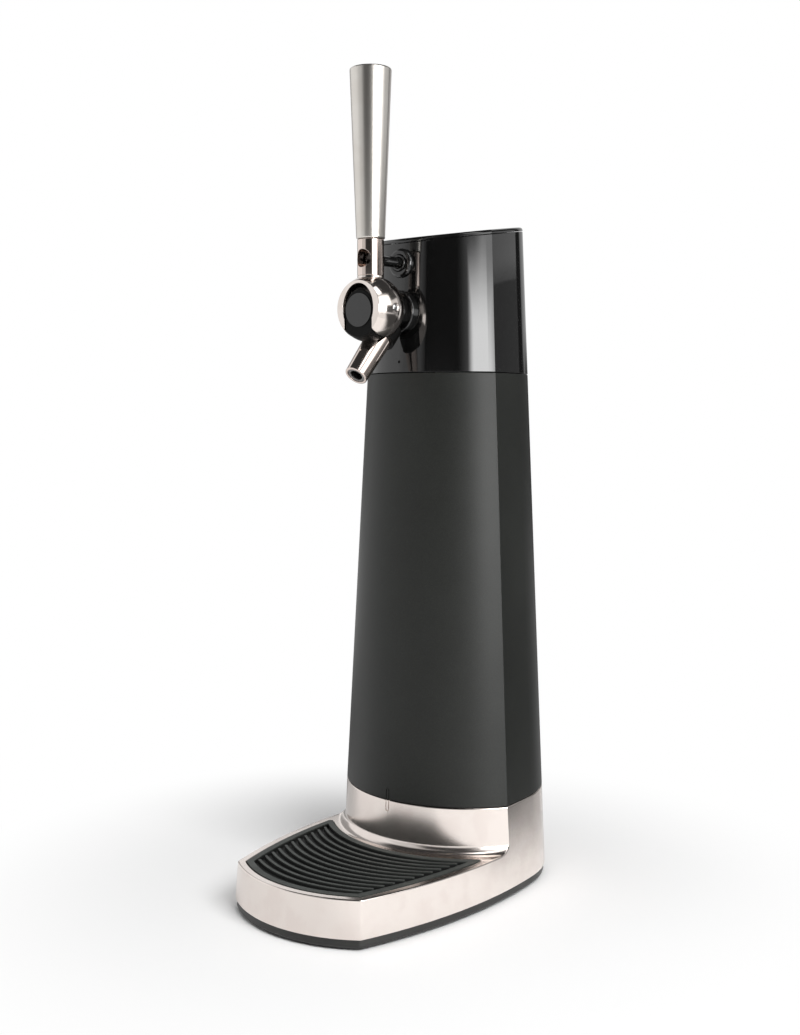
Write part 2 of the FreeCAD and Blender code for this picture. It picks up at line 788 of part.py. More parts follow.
def make_drip_mat():
    body = new_body("drip_mat")
    pad(body, tray_outline(body, MAT_FOOT, "dims.mat_inset"), "dims.mat_height")
    round_edges(body, is_upright, "dims.mat_corner")
    inner = "(dims.mat_inset + dims.mat_border)"
    pocket(body, tray_outline(body, MAT_TOP, inner), "dims.rib_height")

    # Raised ribs, each the same arc moved back by one pitch
    ribs = new_sketch(body, "XY_Plane", f"({MAT_TOP} - dims.rib_height)")
    count = int(SIZES["rib_count"])
    front = (
        f"({inner} - dims.base_front_reach + dims.ledge_height * tan(dims.base_front_draft))"
    )
    rear = "(-dims.mat_rear_reach - dims.mat_border)"
    pitch = f"(({rear} - {front}) / (dims.rib_count + 1))"
    side_x, side_y, side_r = side_arc("dims.ledge_height", f"({inner} + dims.rib_end_gap)")
    for i in range(1, count + 1):
        apex = f"({front} + {i} * {pitch} - dims.rib_width / 2)"
        level = f"({apex} + dims.rib_end_drop)"
        x = f"(sqrt({side_r}^2 - ({level} - {side_y})^2) - {side_x})"
        y = f"({apex} + dims.rib_radius - sqrt(dims.rib_radius^2 - {x}^2))"
        add_profile(ribs, [
            (f"(-{x})", y, "dims.rib_radius", 1),
            (x, y, "dims.rib_end_round", 1),
            (x, f"({y} + dims.rib_width)", "dims.rib_radius", -1),
            (f"(-{x})", f"({y} + dims.rib_width)", "dims.rib_end_round", 1),
        ])
    pad(body, ribs, "dims.rib_height")


# Bottle chamber: a cup in the base, a sleeve in the tower, and the seal between them

def make_chamber_cup():
    floor = "(dims.cup_floor_height - dims.cup_wall)"
    top = "(dims.tower_seam_height + dims.cup_flange_height)"
    body = turned("chamber_cup", [
        ("0", floor), (CUP_RADIUS, floor), (CUP_RADIUS, "dims.tower_seam_height"),
        ("dims.cup_flange_radius", "dims.tower_seam_height"), ("dims.cup_flange_radius", top),
        (CUP_BORE, top), (CUP_BORE, "dims.cup_floor_height"), ("0", "dims.cup_floor_height"),
    ])
    place(body, y=CHAMBER_Y)


def make_bottle_pad():
    top = "(dims.cup_floor_height + dims.pad_height)"
    body = turned("bottle_pad", rod("dims.pad_radius", "dims.cup_floor_height", top))
    place(body, y=CHAMBER_Y)


def make_chamber_sleeve():
    foot = "(dims.tower_seam_height - dims.sleeve_dip)"
    groove = f"({SLEEVE_RADIUS} - dims.seal_groove)"
    low = f"({SEAL_Z} - dims.seal_section - dims.screw_gap)"
    high = f"({SEAL_Z} + dims.seal_section + dims.screw_gap)"
    body = turned("chamber_sleeve", [
        ("dims.sleeve_bore_radius", foot), (SLEEVE_RADIUS, foot), (SLEEVE_RADIUS, low),
        (groove, low), (groove, high), (SLEEVE_RADIUS, high), (SLEEVE_RADIUS, BULKHEAD_FOOT),
        ("dims.sleeve_bore_radius", BULKHEAD_FOOT),
    ])
    place(body, y=CHAMBER_Y)


def make_tower_seal():
    ring = doc.addObject("Part::Torus", "tower_seal")
    ring.Label = "tower_seal"
    ring.setExpression("Radius1", SEAL_CENTRE)
    ring.setExpression("Radius2", "dims.seal_section")
    place(ring, y=CHAMBER_Y, z=SEAL_Z)
    nodes.append(ring)


def make_bulkhead():
    body = new_body("chamber_bulkhead")
    inset = "(dims.tower_wall + dims.slip_gap)"
    loft(body, [outline(body, height, inset) for height in (BULKHEAD_FOOT, BULKHEAD_TOP)])
    hole = new_sketch(body, "XY_Plane", BULKHEAD_TOP)
    add_circle(hole, "0", CHAMBER_Y, "(dims.dip_tube_radius + dims.running_gap)")
    pocket(body, hole, "dims.bulkhead_height")


def make_dip_tube():
    foot = "(dims.cup_floor_height + dims.pad_height + dims.dip_tube_gap)"
    top = f"({BULKHEAD_TOP} + dims.foam_block_height + dims.tail_length)"
    body = turned("dip_tube", tube("dims.dip_tube_radius", "dims.dip_tube_bore", foot, top))
    place(body, y=CHAMBER_Y)


# Tower and cap

def make_tower_shell():
    body = new_body("tower_shell")
    loft(body, [outline(body, TOWER_FOOT), outline(body, "dims.cap_seam_height")])
    hollow = [
        outline(body, height, "dims.tower_wall") for height in (TOWER_FOOT, "dims.cap_seam_height")
    ]
    loft(body, hollow, cut=True)
    engrave(body, TOWER_FOOT, TOWER_FOOT, 1)


def cut_wedge(body, drop, above):
    """Cuts away what lies above or below a plane parallel to the lid's top."""
    sketch = new_sketch(body, "YZ_Plane", "(-dims.base_front_reach)")
    near, far = "(-dims.base_front_reach)", "(1.5 * dims.base_front_reach)"
    end = f"(2 * {LID_Z})" if above else "dims.cap_seam_height"
    add_profile(sketch, [
        (near, lid_plane(near, drop)), (far, lid_plane(far, drop)), (far, end), (near, end),
    ])
    pocket(body, sketch, "2 * dims.base_front_reach", along=True)


def round_hole(body, x, z, face, radius, depth):
    """A hole bored straight back from in front of a face."""
    sketch = new_sketch(body, "XZ_Plane", f"(dims.hole_start - {face})")
    add_circle(sketch, x, z, radius)
    pocket(body, sketch, f"dims.hole_start + {depth}")


def make_cap_shell():
    body = new_body("cap_shell")
    top = f"({LID_Z} + dims.lid_rise)"
    loft(body, [outline(body, CAP_FOOT), outline(body, top)])
    hollow = [outline(body, height, "dims.cap_wall") for height in (CAP_FOOT, top)]
    loft(body, hollow, cut=True)
    cut_wedge(body, "(dims.lid_height + dims.seam_gap)", above=True)
    boss = new_sketch(body, "XZ_Plane", f"(-{TAP_FACE} - dims.spot_depth)")
    add_circle(boss, "0", TAP_Z, "dims.boss_radius")
    pad(body, boss, "dims.cap_wall + dims.boss_height - dims.spot_depth", down=True)
    for radius, depth in (
        ("(dims.flange_radius + dims.slip_gap)", "dims.spot_depth"),
        ("(dims.shank_radius + dims.screw_gap)", "2 * (dims.cap_wall + dims.boss_height)"),
    ):
        round_hole(body, "0", TAP_Z, TAP_FACE, radius, depth)
    for radius, depth in (
        ("(dims.bezel_radius + dims.slip_gap)", "dims.bezel_spot"),
        ("(dims.bezel_neck_radius + dims.screw_gap)", "2 * dims.cap_wall"),
    ):
        round_hole(body, "0", ROD_Z, ROD_FACE, radius, depth)
    light = "(dims.light_radius + dims.running_gap)"
    round_hole(body, "0", LIGHT_Z, LIGHT_FACE, light, "2 * dims.cap_wall")


def make_cap_lid():
    body = new_body("cap_lid")
    low = f"({LID_Z} - dims.lid_rise)"
    high = f"({LID_Z} + dims.lid_rise)"
    loft(body, [outline(body, low), outline(body, high)])
    cut_wedge(body, "0", above=True)
    cut_wedge(body, "dims.lid_height", above=False)
    front, slope = number(cap_face(LID_Z)), number("tan(dims.lid_slope)")
    level = number(LID_Z)

    def on_top(edge):
        return all(abs(p.z - level - (p.y - front) * slope) < 0.05 for p in ends(edge))

    round_edges(body, on_top, "dims.lid_edge")
    for side in ("", "-"):
        for y in ("dims.lid_tab_front", "dims.lid_tab_rear"):
            foot = lid_plane(y, "(dims.lid_height + dims.lid_tab_height)")
            tab = new_sketch(body, "XY_Plane", foot)
            middle = f"({side}dims.lid_tab_side)"
            add_box(
                tab,
                f"({middle} - dims.lid_tab_wall / 2)", f"({middle} + dims.lid_tab_wall / 2)",
                f"({y} - dims.lid_tab_width / 2)", f"({y} + dims.lid_tab_width / 2)",
            )
            pad(body, tab, "dims.lid_tab_height + dims.lid_height / 2")


# Tap body: core, flange, shank with its nut, and the spout

QUARTER_TURN = 90
TO_REAR = FreeCAD.Rotation(FreeCAD.Vector(-1, 0, 0), QUARTER_TURN)
TO_FRONT = FreeCAD.Rotation(FreeCAD.Vector(1, 0, 0), QUARTER_TURN)
TO_RIGHT = FreeCAD.Rotation(FreeCAD.Vector(0, 1, 0), QUARTER_TURN)


def primitive(kind, name, **sizes):
    thing = doc.addObject(f"Part::{kind}", name)
    for size, value in sizes.items():
        thing.setExpression(size, value)
    return thing


def join(kind, name, *things):
    joined = doc.addObject(f"Part::{kind}", name)
    if kind == "Cut":
        joined.Base, joined.Tool = things
    else:
        joined.Shapes = list(things)
    return joined


def on_tap(thing, forward="0", up="0", right="0"):
    """Places a piece from the middle of the tap's ball."""
    place(thing, f"({right})", f"({TAP_Y} - ({forward}))", f"({TAP_Z} + ({up}))")


def on_spout(thing, start="0"):
    """Places a piece along the spout's sloping axis, from the spout's open end."""
    thing.Placement.Rotation = FreeCAD.Rotation(FreeCAD.Vector(-1, 0, 0), 1)
    thing.setExpression("Placement.Rotation.Angle", "dims.spout_lean")
    place(
        thing,
        y=f"({TAP_Y} - dims.spout_end_forward + ({start}) * sin(dims.spout_lean))",
        z=f"({TAP_Z} - dims.spout_end_drop + ({start}) * cos(dims.spout_lean))",
    )


def make_tap_core():
    ball = primitive("Sphere", "core_ball", Radius="dims.core_radius")
    on_tap(ball)
    belly_ball = primitive("Sphere", "belly_ball", Radius="dims.core_belly_radius")
    on_tap(belly_ball)
    belly_box = primitive(
        "Box", "belly_box", Length="dims.core_belly_width", Width="4 * dims.core_belly_radius",
        Height="2 * dims.core_belly_radius - dims.core_belly_top",
    )
    on_tap(
        belly_box, forward="2 * dims.core_belly_radius", up="-2 * dims.core_belly_radius",
        right="-dims.core_belly_width / 2",
    )
    belly = join("MultiCommon", "belly", belly_ball, belly_box)
    reach = "dims.tap_reach - dims.flange_height"
    neck = primitive("Cylinder", "neck", Radius="dims.neck_radius", Height=reach)
    neck.Placement.Rotation = TO_REAR
    on_tap(neck)
    elbow = primitive(
        "Cylinder", "elbow", Radius="dims.elbow_radius", Height="dims.elbow_length"
    )
    on_spout(elbow, "dims.elbow_start")
    solid = join("MultiFuse", "core_solid", ball, belly, neck, elbow)

    front = primitive(
        "Box", "core_front", Length="4 * dims.core_radius", Width="2 * dims.core_radius",
        Height="4 * dims.core_radius",
    )
    on_tap(
        front, forward="dims.core_flat + 2 * dims.core_radius", up="-2 * dims.core_radius",
        right="-2 * dims.core_radius",
    )
    socket = primitive(
        "Cone", "spout_socket", Radius1="dims.spout_end_radius + dims.running_gap",
        Radius2="dims.spout_root_radius + dims.running_gap", Height="dims.spout_length",
    )
    on_spout(socket)
    spout_way = primitive(
        "Cylinder", "spout_way", Radius="dims.shank_bore", Height="dims.spout_way_length"
    )
    on_spout(spout_way, "dims.spout_length - dims.running_gap")
    shank_way = primitive(
        "Cylinder", "shank_way", Radius="dims.shank_bore", Height="dims.shank_way_length"
    )
    shank_way.Placement.Rotation = TO_REAR
    on_tap(shank_way, forward=f"dims.shank_way_length - ({reach})")
    pin_bore = primitive(
        "Cylinder", "pin_bore", Radius="dims.pin_radius + dims.running_gap",
        Height="4 * dims.core_radius",
    )
    pin_bore.Placement.Rotation = TO_RIGHT
    on_tap(pin_bore, right="-2 * dims.core_radius")
    cuts = join("MultiFuse", "core_cuts", front, socket, spout_way, shank_way, pin_bore)
    core = join("Cut", "tap_core", solid, cuts)
    core.Label = "tap_core"
    nodes.append(core)


def make_core_disc():
    body = turned("core_disc", rod("dims.core_disc_radius", "0", "dims.core_disc_height"))
    place(
        body, y=f"({TAP_Y} - dims.core_flat)", z=f"({TAP_Z} - dims.core_disc_drop)",
        turn=TO_FRONT,
    )


def to_rear(body, y, z):
    place(body, y=y, z=z, turn=TO_REAR)


def make_tap_mounting():
    bore = "(dims.shank_radius + dims.screw_gap)"
    front = "(-dims.flange_height)"
    flange = turned("tap_flange", [
        (bore, front), ("(dims.flange_radius - dims.flange_edge)", front),
        ("dims.flange_radius", f"({front} + dims.flange_edge)"),
        ("dims.flange_radius", "dims.spot_depth"), (bore, "dims.spot_depth"),
    ])
    to_rear(flange, TAP_FACE, TAP_Z)
    end = "dims.shank_length"
    shank = turned("tap_shank", [
        ("dims.shank_bore", front), ("dims.shank_radius", front), ("dims.shank_radius", end),
        (TAIL_RADIUS, end), (TAIL_RADIUS, f"({end} + dims.tail_length)"),
        ("dims.dip_tube_bore", f"({end} + dims.tail_length)"),
        ("dims.dip_tube_bore", f"({end} - dims.tail_length)"),
        ("dims.shank_bore", f"({end} - dims.tail_length)"),
    ])
    to_rear(shank, TAP_FACE, TAP_Z)
    seat = "(dims.cap_wall + dims.boss_height)"
    washer = turned(
        "shank_washer", tube("dims.washer_radius", bore, seat, f"({seat} + dims.washer_height)")
    )
    to_rear(washer, TAP_FACE, TAP_Z)
    nut = new_body("shank_nut")
    sketch = new_sketch(nut, "XY_Plane", f"({seat} + dims.washer_height)")
    corner = "(dims.nut_width / 2 / cos(30))"
    add_profile(sketch, [(f"({corner} * cos({a}))", f"({corner} * sin({a}))") for a in NUT_ANGLES])
    add_circle(sketch, "0", "0", bore)
    pad(nut, sketch, "dims.nut_height")
    to_rear(nut, TAP_FACE, TAP_Z)


def make_spout():
    taper = "dims.spout_root_radius", "dims.spout_length"
    spout = turned("spout", [
        ("dims.spout_bore", "0"),
        ("(dims.spout_end_radius - dims.spout_edge)", "0"),
        ("dims.spout_end_radius", "dims.spout_edge"),
        taper,
        ("dims.shank_bore", "dims.spout_length"),
        ("dims.shank_bore", "dims.spout_bore_depth"),
        ("dims.spout_bore", "dims.spout_bore_depth"),
    ])
    on_spout(spout)
    liner_radius = "(dims.spout_bore - dims.running_gap)"
    liner = turned(
        "spout_liner",
        tube(liner_radius, "dims.liner_bore", "dims.liner_recess", "dims.spout_bore_depth"),
    )
    on_spout(liner)


# Lever: the ball that swings on two pins, its collar and the handle

def make_ball_shell():
    body = new_body("ball_shell")
    sketch = new_sketch(body, "XZ_Plane")
    outer, inner = "dims.ball_radius", BALL_BORE
    add_profile(sketch, [
        ("0", f"(-{outer})", outer, 1), (outer, "0", outer, 1), ("0", outer),
        ("0", inner, inner, -1), (inner, "0", inner, -1), ("0", f"(-{inner})"),
    ])
    turn(body, sketch)
    seat = new_sketch(body, "XY_Plane", "(dims.ball_seat - dims.seat_height)")
    add_circle(seat, "0", "0", "dims.collar_radius")
    pad(body, seat, "dims.seat_height")
    level = new_sketch(body, "XY_Plane", "dims.ball_seat")
    add_circle(level, "0", "0", outer)
    pocket(body, level, "dims.ball_radius", along=True)

    beyond = "(dims.ball_radius + dims.hole_start)"
    front = new_sketch(body, "XZ_Plane", "dims.ball_front")
    add_box(front, f"(-{beyond})", beyond, f"(-{beyond})", beyond)
    pocket(body, front, beyond, along=True)

    # Window: four arcs that make an upright oval
    window = new_sketch(body, "XZ_Plane", beyond)
    wide, high = "dims.window_half_width", "dims.window_half_height"
    x, z = f"({wide} * cos(45))", f"({high} * sin(45))"
    side_radius = f"(({z}^2 + ({wide} - {x})^2) / 2 / ({wide} - {x}))"
    top_radius = f"(({x}^2 + ({high} - {z})^2) / 2 / ({high} - {z}))"
    add_profile(window, [
        (x, f"(-{z})", side_radius, 1), (x, z, top_radius, 1),
        (f"(-{x})", z, side_radius, 1), (f"(-{x})", f"(-{z})", top_radius, 1),
    ])
    pocket(body, window, beyond)

    # Slot that lets the ball swing past the spout and the neck
    slot = "dims.slot_half_width"
    under = new_sketch(body, "XZ_Plane", beyond)
    add_box(under, f"(-{slot})", slot, f"(-{beyond})", "0")
    pocket(body, under, f"2 * {beyond}")
    rear = new_sketch(body, "XZ_Plane", f"(-{beyond})")
    add_box(rear, f"(-{slot})", slot, f"(-{slot})", "dims.slot_rear_top")
    pocket(body, rear, f"{beyond} - dims.slot_rear_start", along=True)

    for lift, along in ((beyond, False), (f"(-{beyond})", True)):
        for radius, depth in (
            ("dims.pin_radius + dims.pin_fit", "dims.ball_radius"),
            ("dims.pin_radius + dims.pin_ring", "dims.pin_ring_depth + dims.hole_start"),
        ):
            hole = new_sketch(body, "YZ_Plane", lift)
            add_circle(hole, "0", "0", f"({radius})")
            pocket(body, hole, depth, along=along)

    for radius, top in (
        ("(dims.collar_screw_head + dims.screw_gap)", "dims.screw_seat"),
        ("(dims.collar_screw_radius + dims.screw_gap)", "dims.ball_radius"),
    ):
        hole = new_sketch(body, "XY_Plane")
        add_circle(hole, "0", "0", radius)
        pocket(body, hole, top, along=True)
    on_tap(body)


def make_pivot_pins():
    body = new_body("pivot_pins")
    start = "(dims.ball_radius - dims.pin_sink - dims.pin_length)"
    for lift, down in ((start, False), (f"(-{start})", True)):
        sketch = new_sketch(body, "YZ_Plane", lift)
        add_circle(sketch, "0", "0", "dims.pin_radius")
        pad(body, sketch, "dims.pin_length", down=down)
    on_tap(body)


def make_collar():
    edge, radius = "dims.collar_edge", "dims.collar_radius"
    low, high = "dims.ball_seat", COLLAR_TOP
    screw_bore = "(dims.collar_screw_radius + dims.running_gap)"
    screw_top = "(dims.screw_seat + dims.collar_screw_length + dims.slip_gap)"
    stud_bore = "(dims.stud_radius + dims.running_gap)"
    stud_foot = f"({high} - dims.stud_in_collar - dims.screw_gap)"
    body = turned("collar", [
        (screw_bore, low), (f"({radius} - {edge})", low), (radius, f"({low} + {edge})"),
        (radius, f"({high} - {edge})"), (f"({radius} - {edge})", high), (stud_bore, high),
        (stud_bore, stud_foot), ("0", stud_foot), ("0", screw_top), (screw_bore, screw_top),
    ])
    for bore, depth in (
        ("dims.collar_window_radius", f"2 * {radius} - dims.collar_rear_wall"),
        ("dims.collar_rear_radius", f"3 * {radius}"),
    ):
        sketch = new_sketch(body, "XZ_Plane", f"({radius} + dims.hole_start)")
        add_circle(sketch, "0", "dims.rod_rise", bore)
        pocket(body, sketch, f"{depth} + dims.hole_start")
    on_tap(body)


def make_collar_screw():
    foot = "(dims.screw_seat - dims.collar_screw_head_height)"
    top = "(dims.screw_seat + dims.collar_screw_length)"
    head, shank = "dims.collar_screw_head", "dims.collar_screw_radius"
    body = turned("collar_screw", [
        ("0", foot), (head, foot), (head, "dims.screw_seat"), (shank, "dims.screw_seat"),
        (shank, top), ("0", top),
    ])
    on_tap(body)


def make_handle():
    foot = f"({COLLAR_TOP} + dims.seam_gap)"
    shoulder = f"({foot} + dims.handle_length)"
    top = f"({shoulder} + dims.handle_dome)"
    edge = "dims.handle_edge"
    low, high = "dims.handle_bottom_radius", "dims.handle_top_radius"
    rim = f"({high} - {edge})"
    dome_radius = f"(({rim}^2 + (dims.handle_dome)^2) / 2 / dims.handle_dome)"
    bore = "(dims.stud_radius + dims.running_gap)"
    bore_top = f"({foot} + dims.stud_in_handle + dims.screw_gap)"
    body = turned("handle", [
        (bore, foot), (f"({low} - {edge})", foot), (low, f"({foot} + {edge})"),
        (high, f"({shoulder} - {edge})", edge, 1), (rim, shoulder, dome_radius, 1),
        ("0", top), ("0", bore_top), (bore, bore_top),
    ])
    on_tap(body)
    stud = turned("handle_stud", rod(
        "dims.stud_radius", f"({COLLAR_TOP} - dims.stud_in_collar)",
        f"({foot} + dims.stud_in_handle)",
    ))
    on_tap(stud)


# Push rod that carries the lever's movement through the cap's front

def make_push_rod():
    y = f"({TAP_Y} + dims.collar_radius + dims.rod_gap)"
    bore, depth = "(dims.rod_pin_radius + dims.running_gap)", "dims.rod_screw_depth"
    body = turned("push_rod", [
        (bore, "0"), ("dims.rod_radius", "0"), ("dims.rod_radius", "dims.rod_length"),
        ("0", "dims.rod_length"), ("0", depth), (bore, depth),
    ])
    to_rear(body, y, ROD_Z)
    pin_foot = "(-dims.rod_pin_length)"
    head_foot = f"({pin_foot} - dims.rod_head_height)"
    screw = turned("rod_screw", [
        ("0", head_foot), ("dims.rod_head_radius", head_foot), ("dims.rod_head_radius", pin_foot),
        ("dims.rod_pin_radius", pin_foot),
        ("dims.rod_pin_radius", "(dims.rod_screw_depth - dims.screw_gap)"),
        ("0", "(dims.rod_screw_depth - dims.screw_gap)"),
    ])
    to_rear(screw, y, ROD_Z)
    slider = new_body("switch_slider")
    sketch = new_sketch(slider, "XY_Plane", "(dims.rod_length - dims.slider_length)")
    half, high = "(dims.slider_width / 2)", "(dims.slider_height / 2)"
    add_box(sketch, f"(-{half})", half, f"(-{high})", high)
    add_circle(sketch, "0", "0", "(dims.rod_radius + dims.running_gap)")
    pad(slider, sketch, "dims.slider_length")
    to_rear(slider, y, ROD_Z)


def make_rod_bezel():
    bore = "(dims.bush_radius + dims.running_gap)"
    edge = "dims.flange_edge"
    front, back = "(-dims.bezel_height)", "(dims.bezel_spot + dims.bezel_neck_length)"
    bezel = turned("rod_bezel", [
        (bore, front), (f"(dims.bezel_radius - {edge})", front),
        ("dims.bezel_radius", f"({front} + {edge})"), ("dims.bezel_radius", "dims.bezel_spot"),
        ("dims.bezel_neck_radius", "dims.bezel_spot"), ("dims.bezel_neck_radius", back),
        (bore, back),
    ])
    to_rear(bezel, ROD_FACE, ROD_Z)
    bush = turned("rod_bush", tube(
        "dims.bush_radius", "(dims.rod_radius + dims.bush_gap)",
        f"({front} - dims.bush_proud)", back,
    ))
    to_rear(bush, ROD_FACE, ROD_Z)
    light = turned("indicator_light", rod("dims.light_radius", "0", "dims.cap_wall"))
    to_rear(light, LIGHT_FACE, LIGHT_Z)


# Works inside the cap

CELL_SPOTS = [(f"({sign}dims.cell_pitch / 2)", "dims.cell_centre") for sign in ("-", "")]
CELL_BORE = "(dims.cell_radius + dims.cell_gap)"
BOX_HALF = f"(dims.cell_pitch / 2 + {CELL_BORE} + dims.battery_box_wall)"
BOX_DEEP = f"({CELL_BORE} + dims.battery_box_wall)"
CELL_TOP = lid_plane("dims.cell_centre", "(dims.lid_height + dims.cell_head_gap)")
CELL_FOOT = f"({CELL_TOP} - dims.cell_nub_height - dims.cell_length)"
BOX_SEAT = f"({CELL_FOOT} - dims.contact_height)"


def make_battery_box():
    body = new_body("battery_box")
    block = new_sketch(body, "XY_Plane", BULKHEAD_TOP)
    y_low, y_high = f"(dims.cell_centre - {BOX_DEEP})", f"(dims.cell_centre + {BOX_DEEP})"
    add_box(block, f"(-{BOX_HALF})", BOX_HALF, y_low, y_high)
    pad(body, block, f"{BOX_SEAT} + dims.battery_box_height - {BULKHEAD_TOP}")
    bores = new_sketch(body, "XY_Plane", BOX_SEAT)
    for x, y in CELL_SPOTS:
        add_circle(bores, x, y, CELL_BORE)
    pocket(body, bores, "2 * dims.battery_box_height", along=True)
    hollow = new_sketch(body, "XY_Plane", BULKHEAD_TOP)
    wall = "dims.battery_box_wall"
    add_box(
        hollow, f"(-{BOX_HALF} + {wall})", f"({BOX_HALF} - {wall})",
        f"({y_low} + {wall})", f"({y_high} - {wall})",
    )
    pocket(body, hollow, f"{BOX_SEAT} - dims.battery_box_floor - {BULKHEAD_TOP}", along=True)

    contacts = new_body("battery_contacts")
    plates = new_sketch(contacts, "XY_Plane", BOX_SEAT)
    for x, y in CELL_SPOTS:
        add_circle(plates, x, y, "(dims.cell_radius - dims.contact_inset)")
    pad(contacts, plates, "dims.contact_height")

    cells = new_body("battery_cells")
    for radius, foot, length in (
        ("dims.cell_radius", CELL_FOOT, "dims.cell_length"),
        ("dims.cell_nub_radius", f"({CELL_FOOT} + dims.cell_length)", "dims.cell_nub_height"),
    ):
        sketch = new_sketch(cells, "XY_Plane", foot)
        for x, y in CELL_SPOTS:
            add_circle(sketch, x, y, radius)
        pad(cells, sketch, length)


def make_pump():
    spot = {"x": "(-dims.pump_side)", "y": "dims.pump_depth", "z": BULKHEAD_TOP}
    pump = turned("air_pump", rod("dims.pump_radius", "0", "dims.pump_height"))
    place(pump, **spot)
    top = "(dims.pump_height + dims.motor_height)"
    motor = turned("pump_motor", [
        ("0", "dims.pump_height"), ("dims.motor_radius", "dims.pump_height"),
        ("dims.motor_radius", top), ("dims.motor_cap_radius", top),
        ("dims.motor_cap_radius", f"({top} + dims.motor_cap_height)"),
        ("0", f"({top} + dims.motor_cap_height)"),
    ])
    place(motor, **spot)


def make_beer_line():
    block = turned("foam_transducer", tube(
        "dims.foam_block_radius", "(dims.dip_tube_radius + dims.running_gap)", "0",
        "dims.foam_block_height",
    ))
    place(block, y=CHAMBER_Y, z=BULKHEAD_TOP)
    hose = new_body("beer_hose")
    path = new_sketch(hose, "YZ_Plane")
    low = f"({BULKHEAD_TOP} + dims.foam_block_height)"
    bend_y, bend_z = f"({CHAMBER_Y} - dims.hose_bend)", f"({TAP_Z} - dims.hose_bend)"
    front = f"({TAP_FACE} + dims.shank_length)"
    y, z, r = number(CHAMBER_Y), number(TAP_Z), number("dims.hose_bend")
    up = path.addGeometry(Part.LineSegment(
        FreeCAD.Vector(y, number(low), 0), FreeCAD.Vector(y, z - r, 0)
    ))
    bend = path.addGeometry(arc_between((y - r, z - r), r, (y, z - r), (y - r, z)))
    level = path.addGeometry(Part.LineSegment(
        FreeCAD.Vector(y - r, z, 0), FreeCAD.Vector(number(front), z, 0)
    ))
    for a, b in ((up, bend), (bend, level)):
        path.addConstraint(Sketcher.Constraint("Coincident", a, 2, b, 1))
    fix_point(path, up, 1, CHAMBER_Y, low)
    fix_point(path, up, 2, CHAMBER_Y, bend_z)
    fix_point(path, level, 1, bend_y, TAP_Z)
    fix_point(path, level, 2, front, TAP_Z)
    bind(path, "Radius", bend, value="dims.hose_bend")
    ring = new_sketch(hose, "XY_Plane", low)
    add_circle(ring, "0", CHAMBER_Y, "dims.hose_radius")
    add_circle(ring, "0", CHAMBER_Y, "dims.hose_bore")
    pipe = hose.newObject("PartDesign::AdditivePipe", "pipe")
    pipe.Profile = ring
    pipe.Spine = (path, [])


def make_switches():
    top = f"({ROD_Z} - dims.slider_height / 2 - dims.switch_gap)"
    foot = f"({top} - dims.switch_height)"
    switches = new_body("micro_switches")
    sketch = new_sketch(switches, "XY_Plane", foot)
    half = "(dims.switch_width / 2)"
    for y in ("dims.switch_front", "dims.switch_rear"):
        add_box(
            sketch, f"(-{half})", half, y, f"({y} + dims.switch_length)",
        )
    pad(switches, sketch, "dims.switch_height")

    bracket = new_body("switch_bracket")
    plate = new_sketch(bracket, "XY_Plane", f"({foot} - dims.bracket_wall)")
    add_box(
        plate, f"(-{half} - dims.bracket_wall)", "dims.board_side", "dims.board_front",
        "(dims.switch_rear + dims.switch_length)",
    )
    pad(bracket, plate, "dims.bracket_wall")
    tongue = new_sketch(bracket, "XY_Plane", f"({foot} - dims.bracket_wall)")
    add_box(
        tongue, f"(-{half} - dims.bracket_wall)", f"({half} + dims.bracket_wall)",
        "dims.switch_front", "(dims.board_front + dims.bracket_wall)",
    )
    pad(bracket, tongue, "dims.bracket_wall")

    board = new_body("control_board")
    sheet = new_sketch(board, "XY_Plane", BULKHEAD_TOP)
    add_box(
        sheet, "dims.board_side", "(dims.board_side + dims.board_width)",
        "dims.board_front", "(dims.board_front + dims.board_length)",
    )
    pad(board, sheet, f"{foot} - {BULKHEAD_TOP}")


for make in (
    make_base_shell, make_base_pan, make_rubber_feet, make_base_screws, make_drip_tray,
    make_drip_mat, make_chamber_cup, make_bottle_pad, make_chamber_sleeve, make_tower_seal,
    make_bulkhead, make_dip_tube, make_tower_shell, make_cap_shell, make_cap_lid,
    make_tap_core, make_core_disc, make_tap_mounting, make_spout, make_ball_shell,
    make_pivot_pins, make_collar, make_collar_screw, make_handle, make_push_rod,
    make_rod_bezel, make_battery_box, make_pump, make_beer_line, make_switches,
):
    make()

doc.recompute()

faults = [o.Name for o in doc.Objects if "Invalid" in o.State or "Error" in o.State]
for node in nodes:
    if node.Shape.isNull() or not node.Shape.isValid() or not node.Shape.Solids:
        faults.append(node.Label)
if faults:
    raise SystemExit(f"not built: {faults}")

os.makedirs("parts", exist_ok=True)
for node in nodes:
    node.Shape.exportStep(f"parts/{node.Label}.step")
    print(f"{node.Label}: {len(node.Shape.Solids)} solids, {node.Shape.Volume / 1000:.2f} cm3")
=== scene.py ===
# %% [markdown]
# A home beer dispenser, dressed in Blender.
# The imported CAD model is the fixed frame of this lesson: it says where each piece is and how
# large it is. Here every piece that shows gets its small rounds, its seams and its finish.
# The frame is loaded first, because every later size is measured on it.

# %% Load the frame
import json
import math

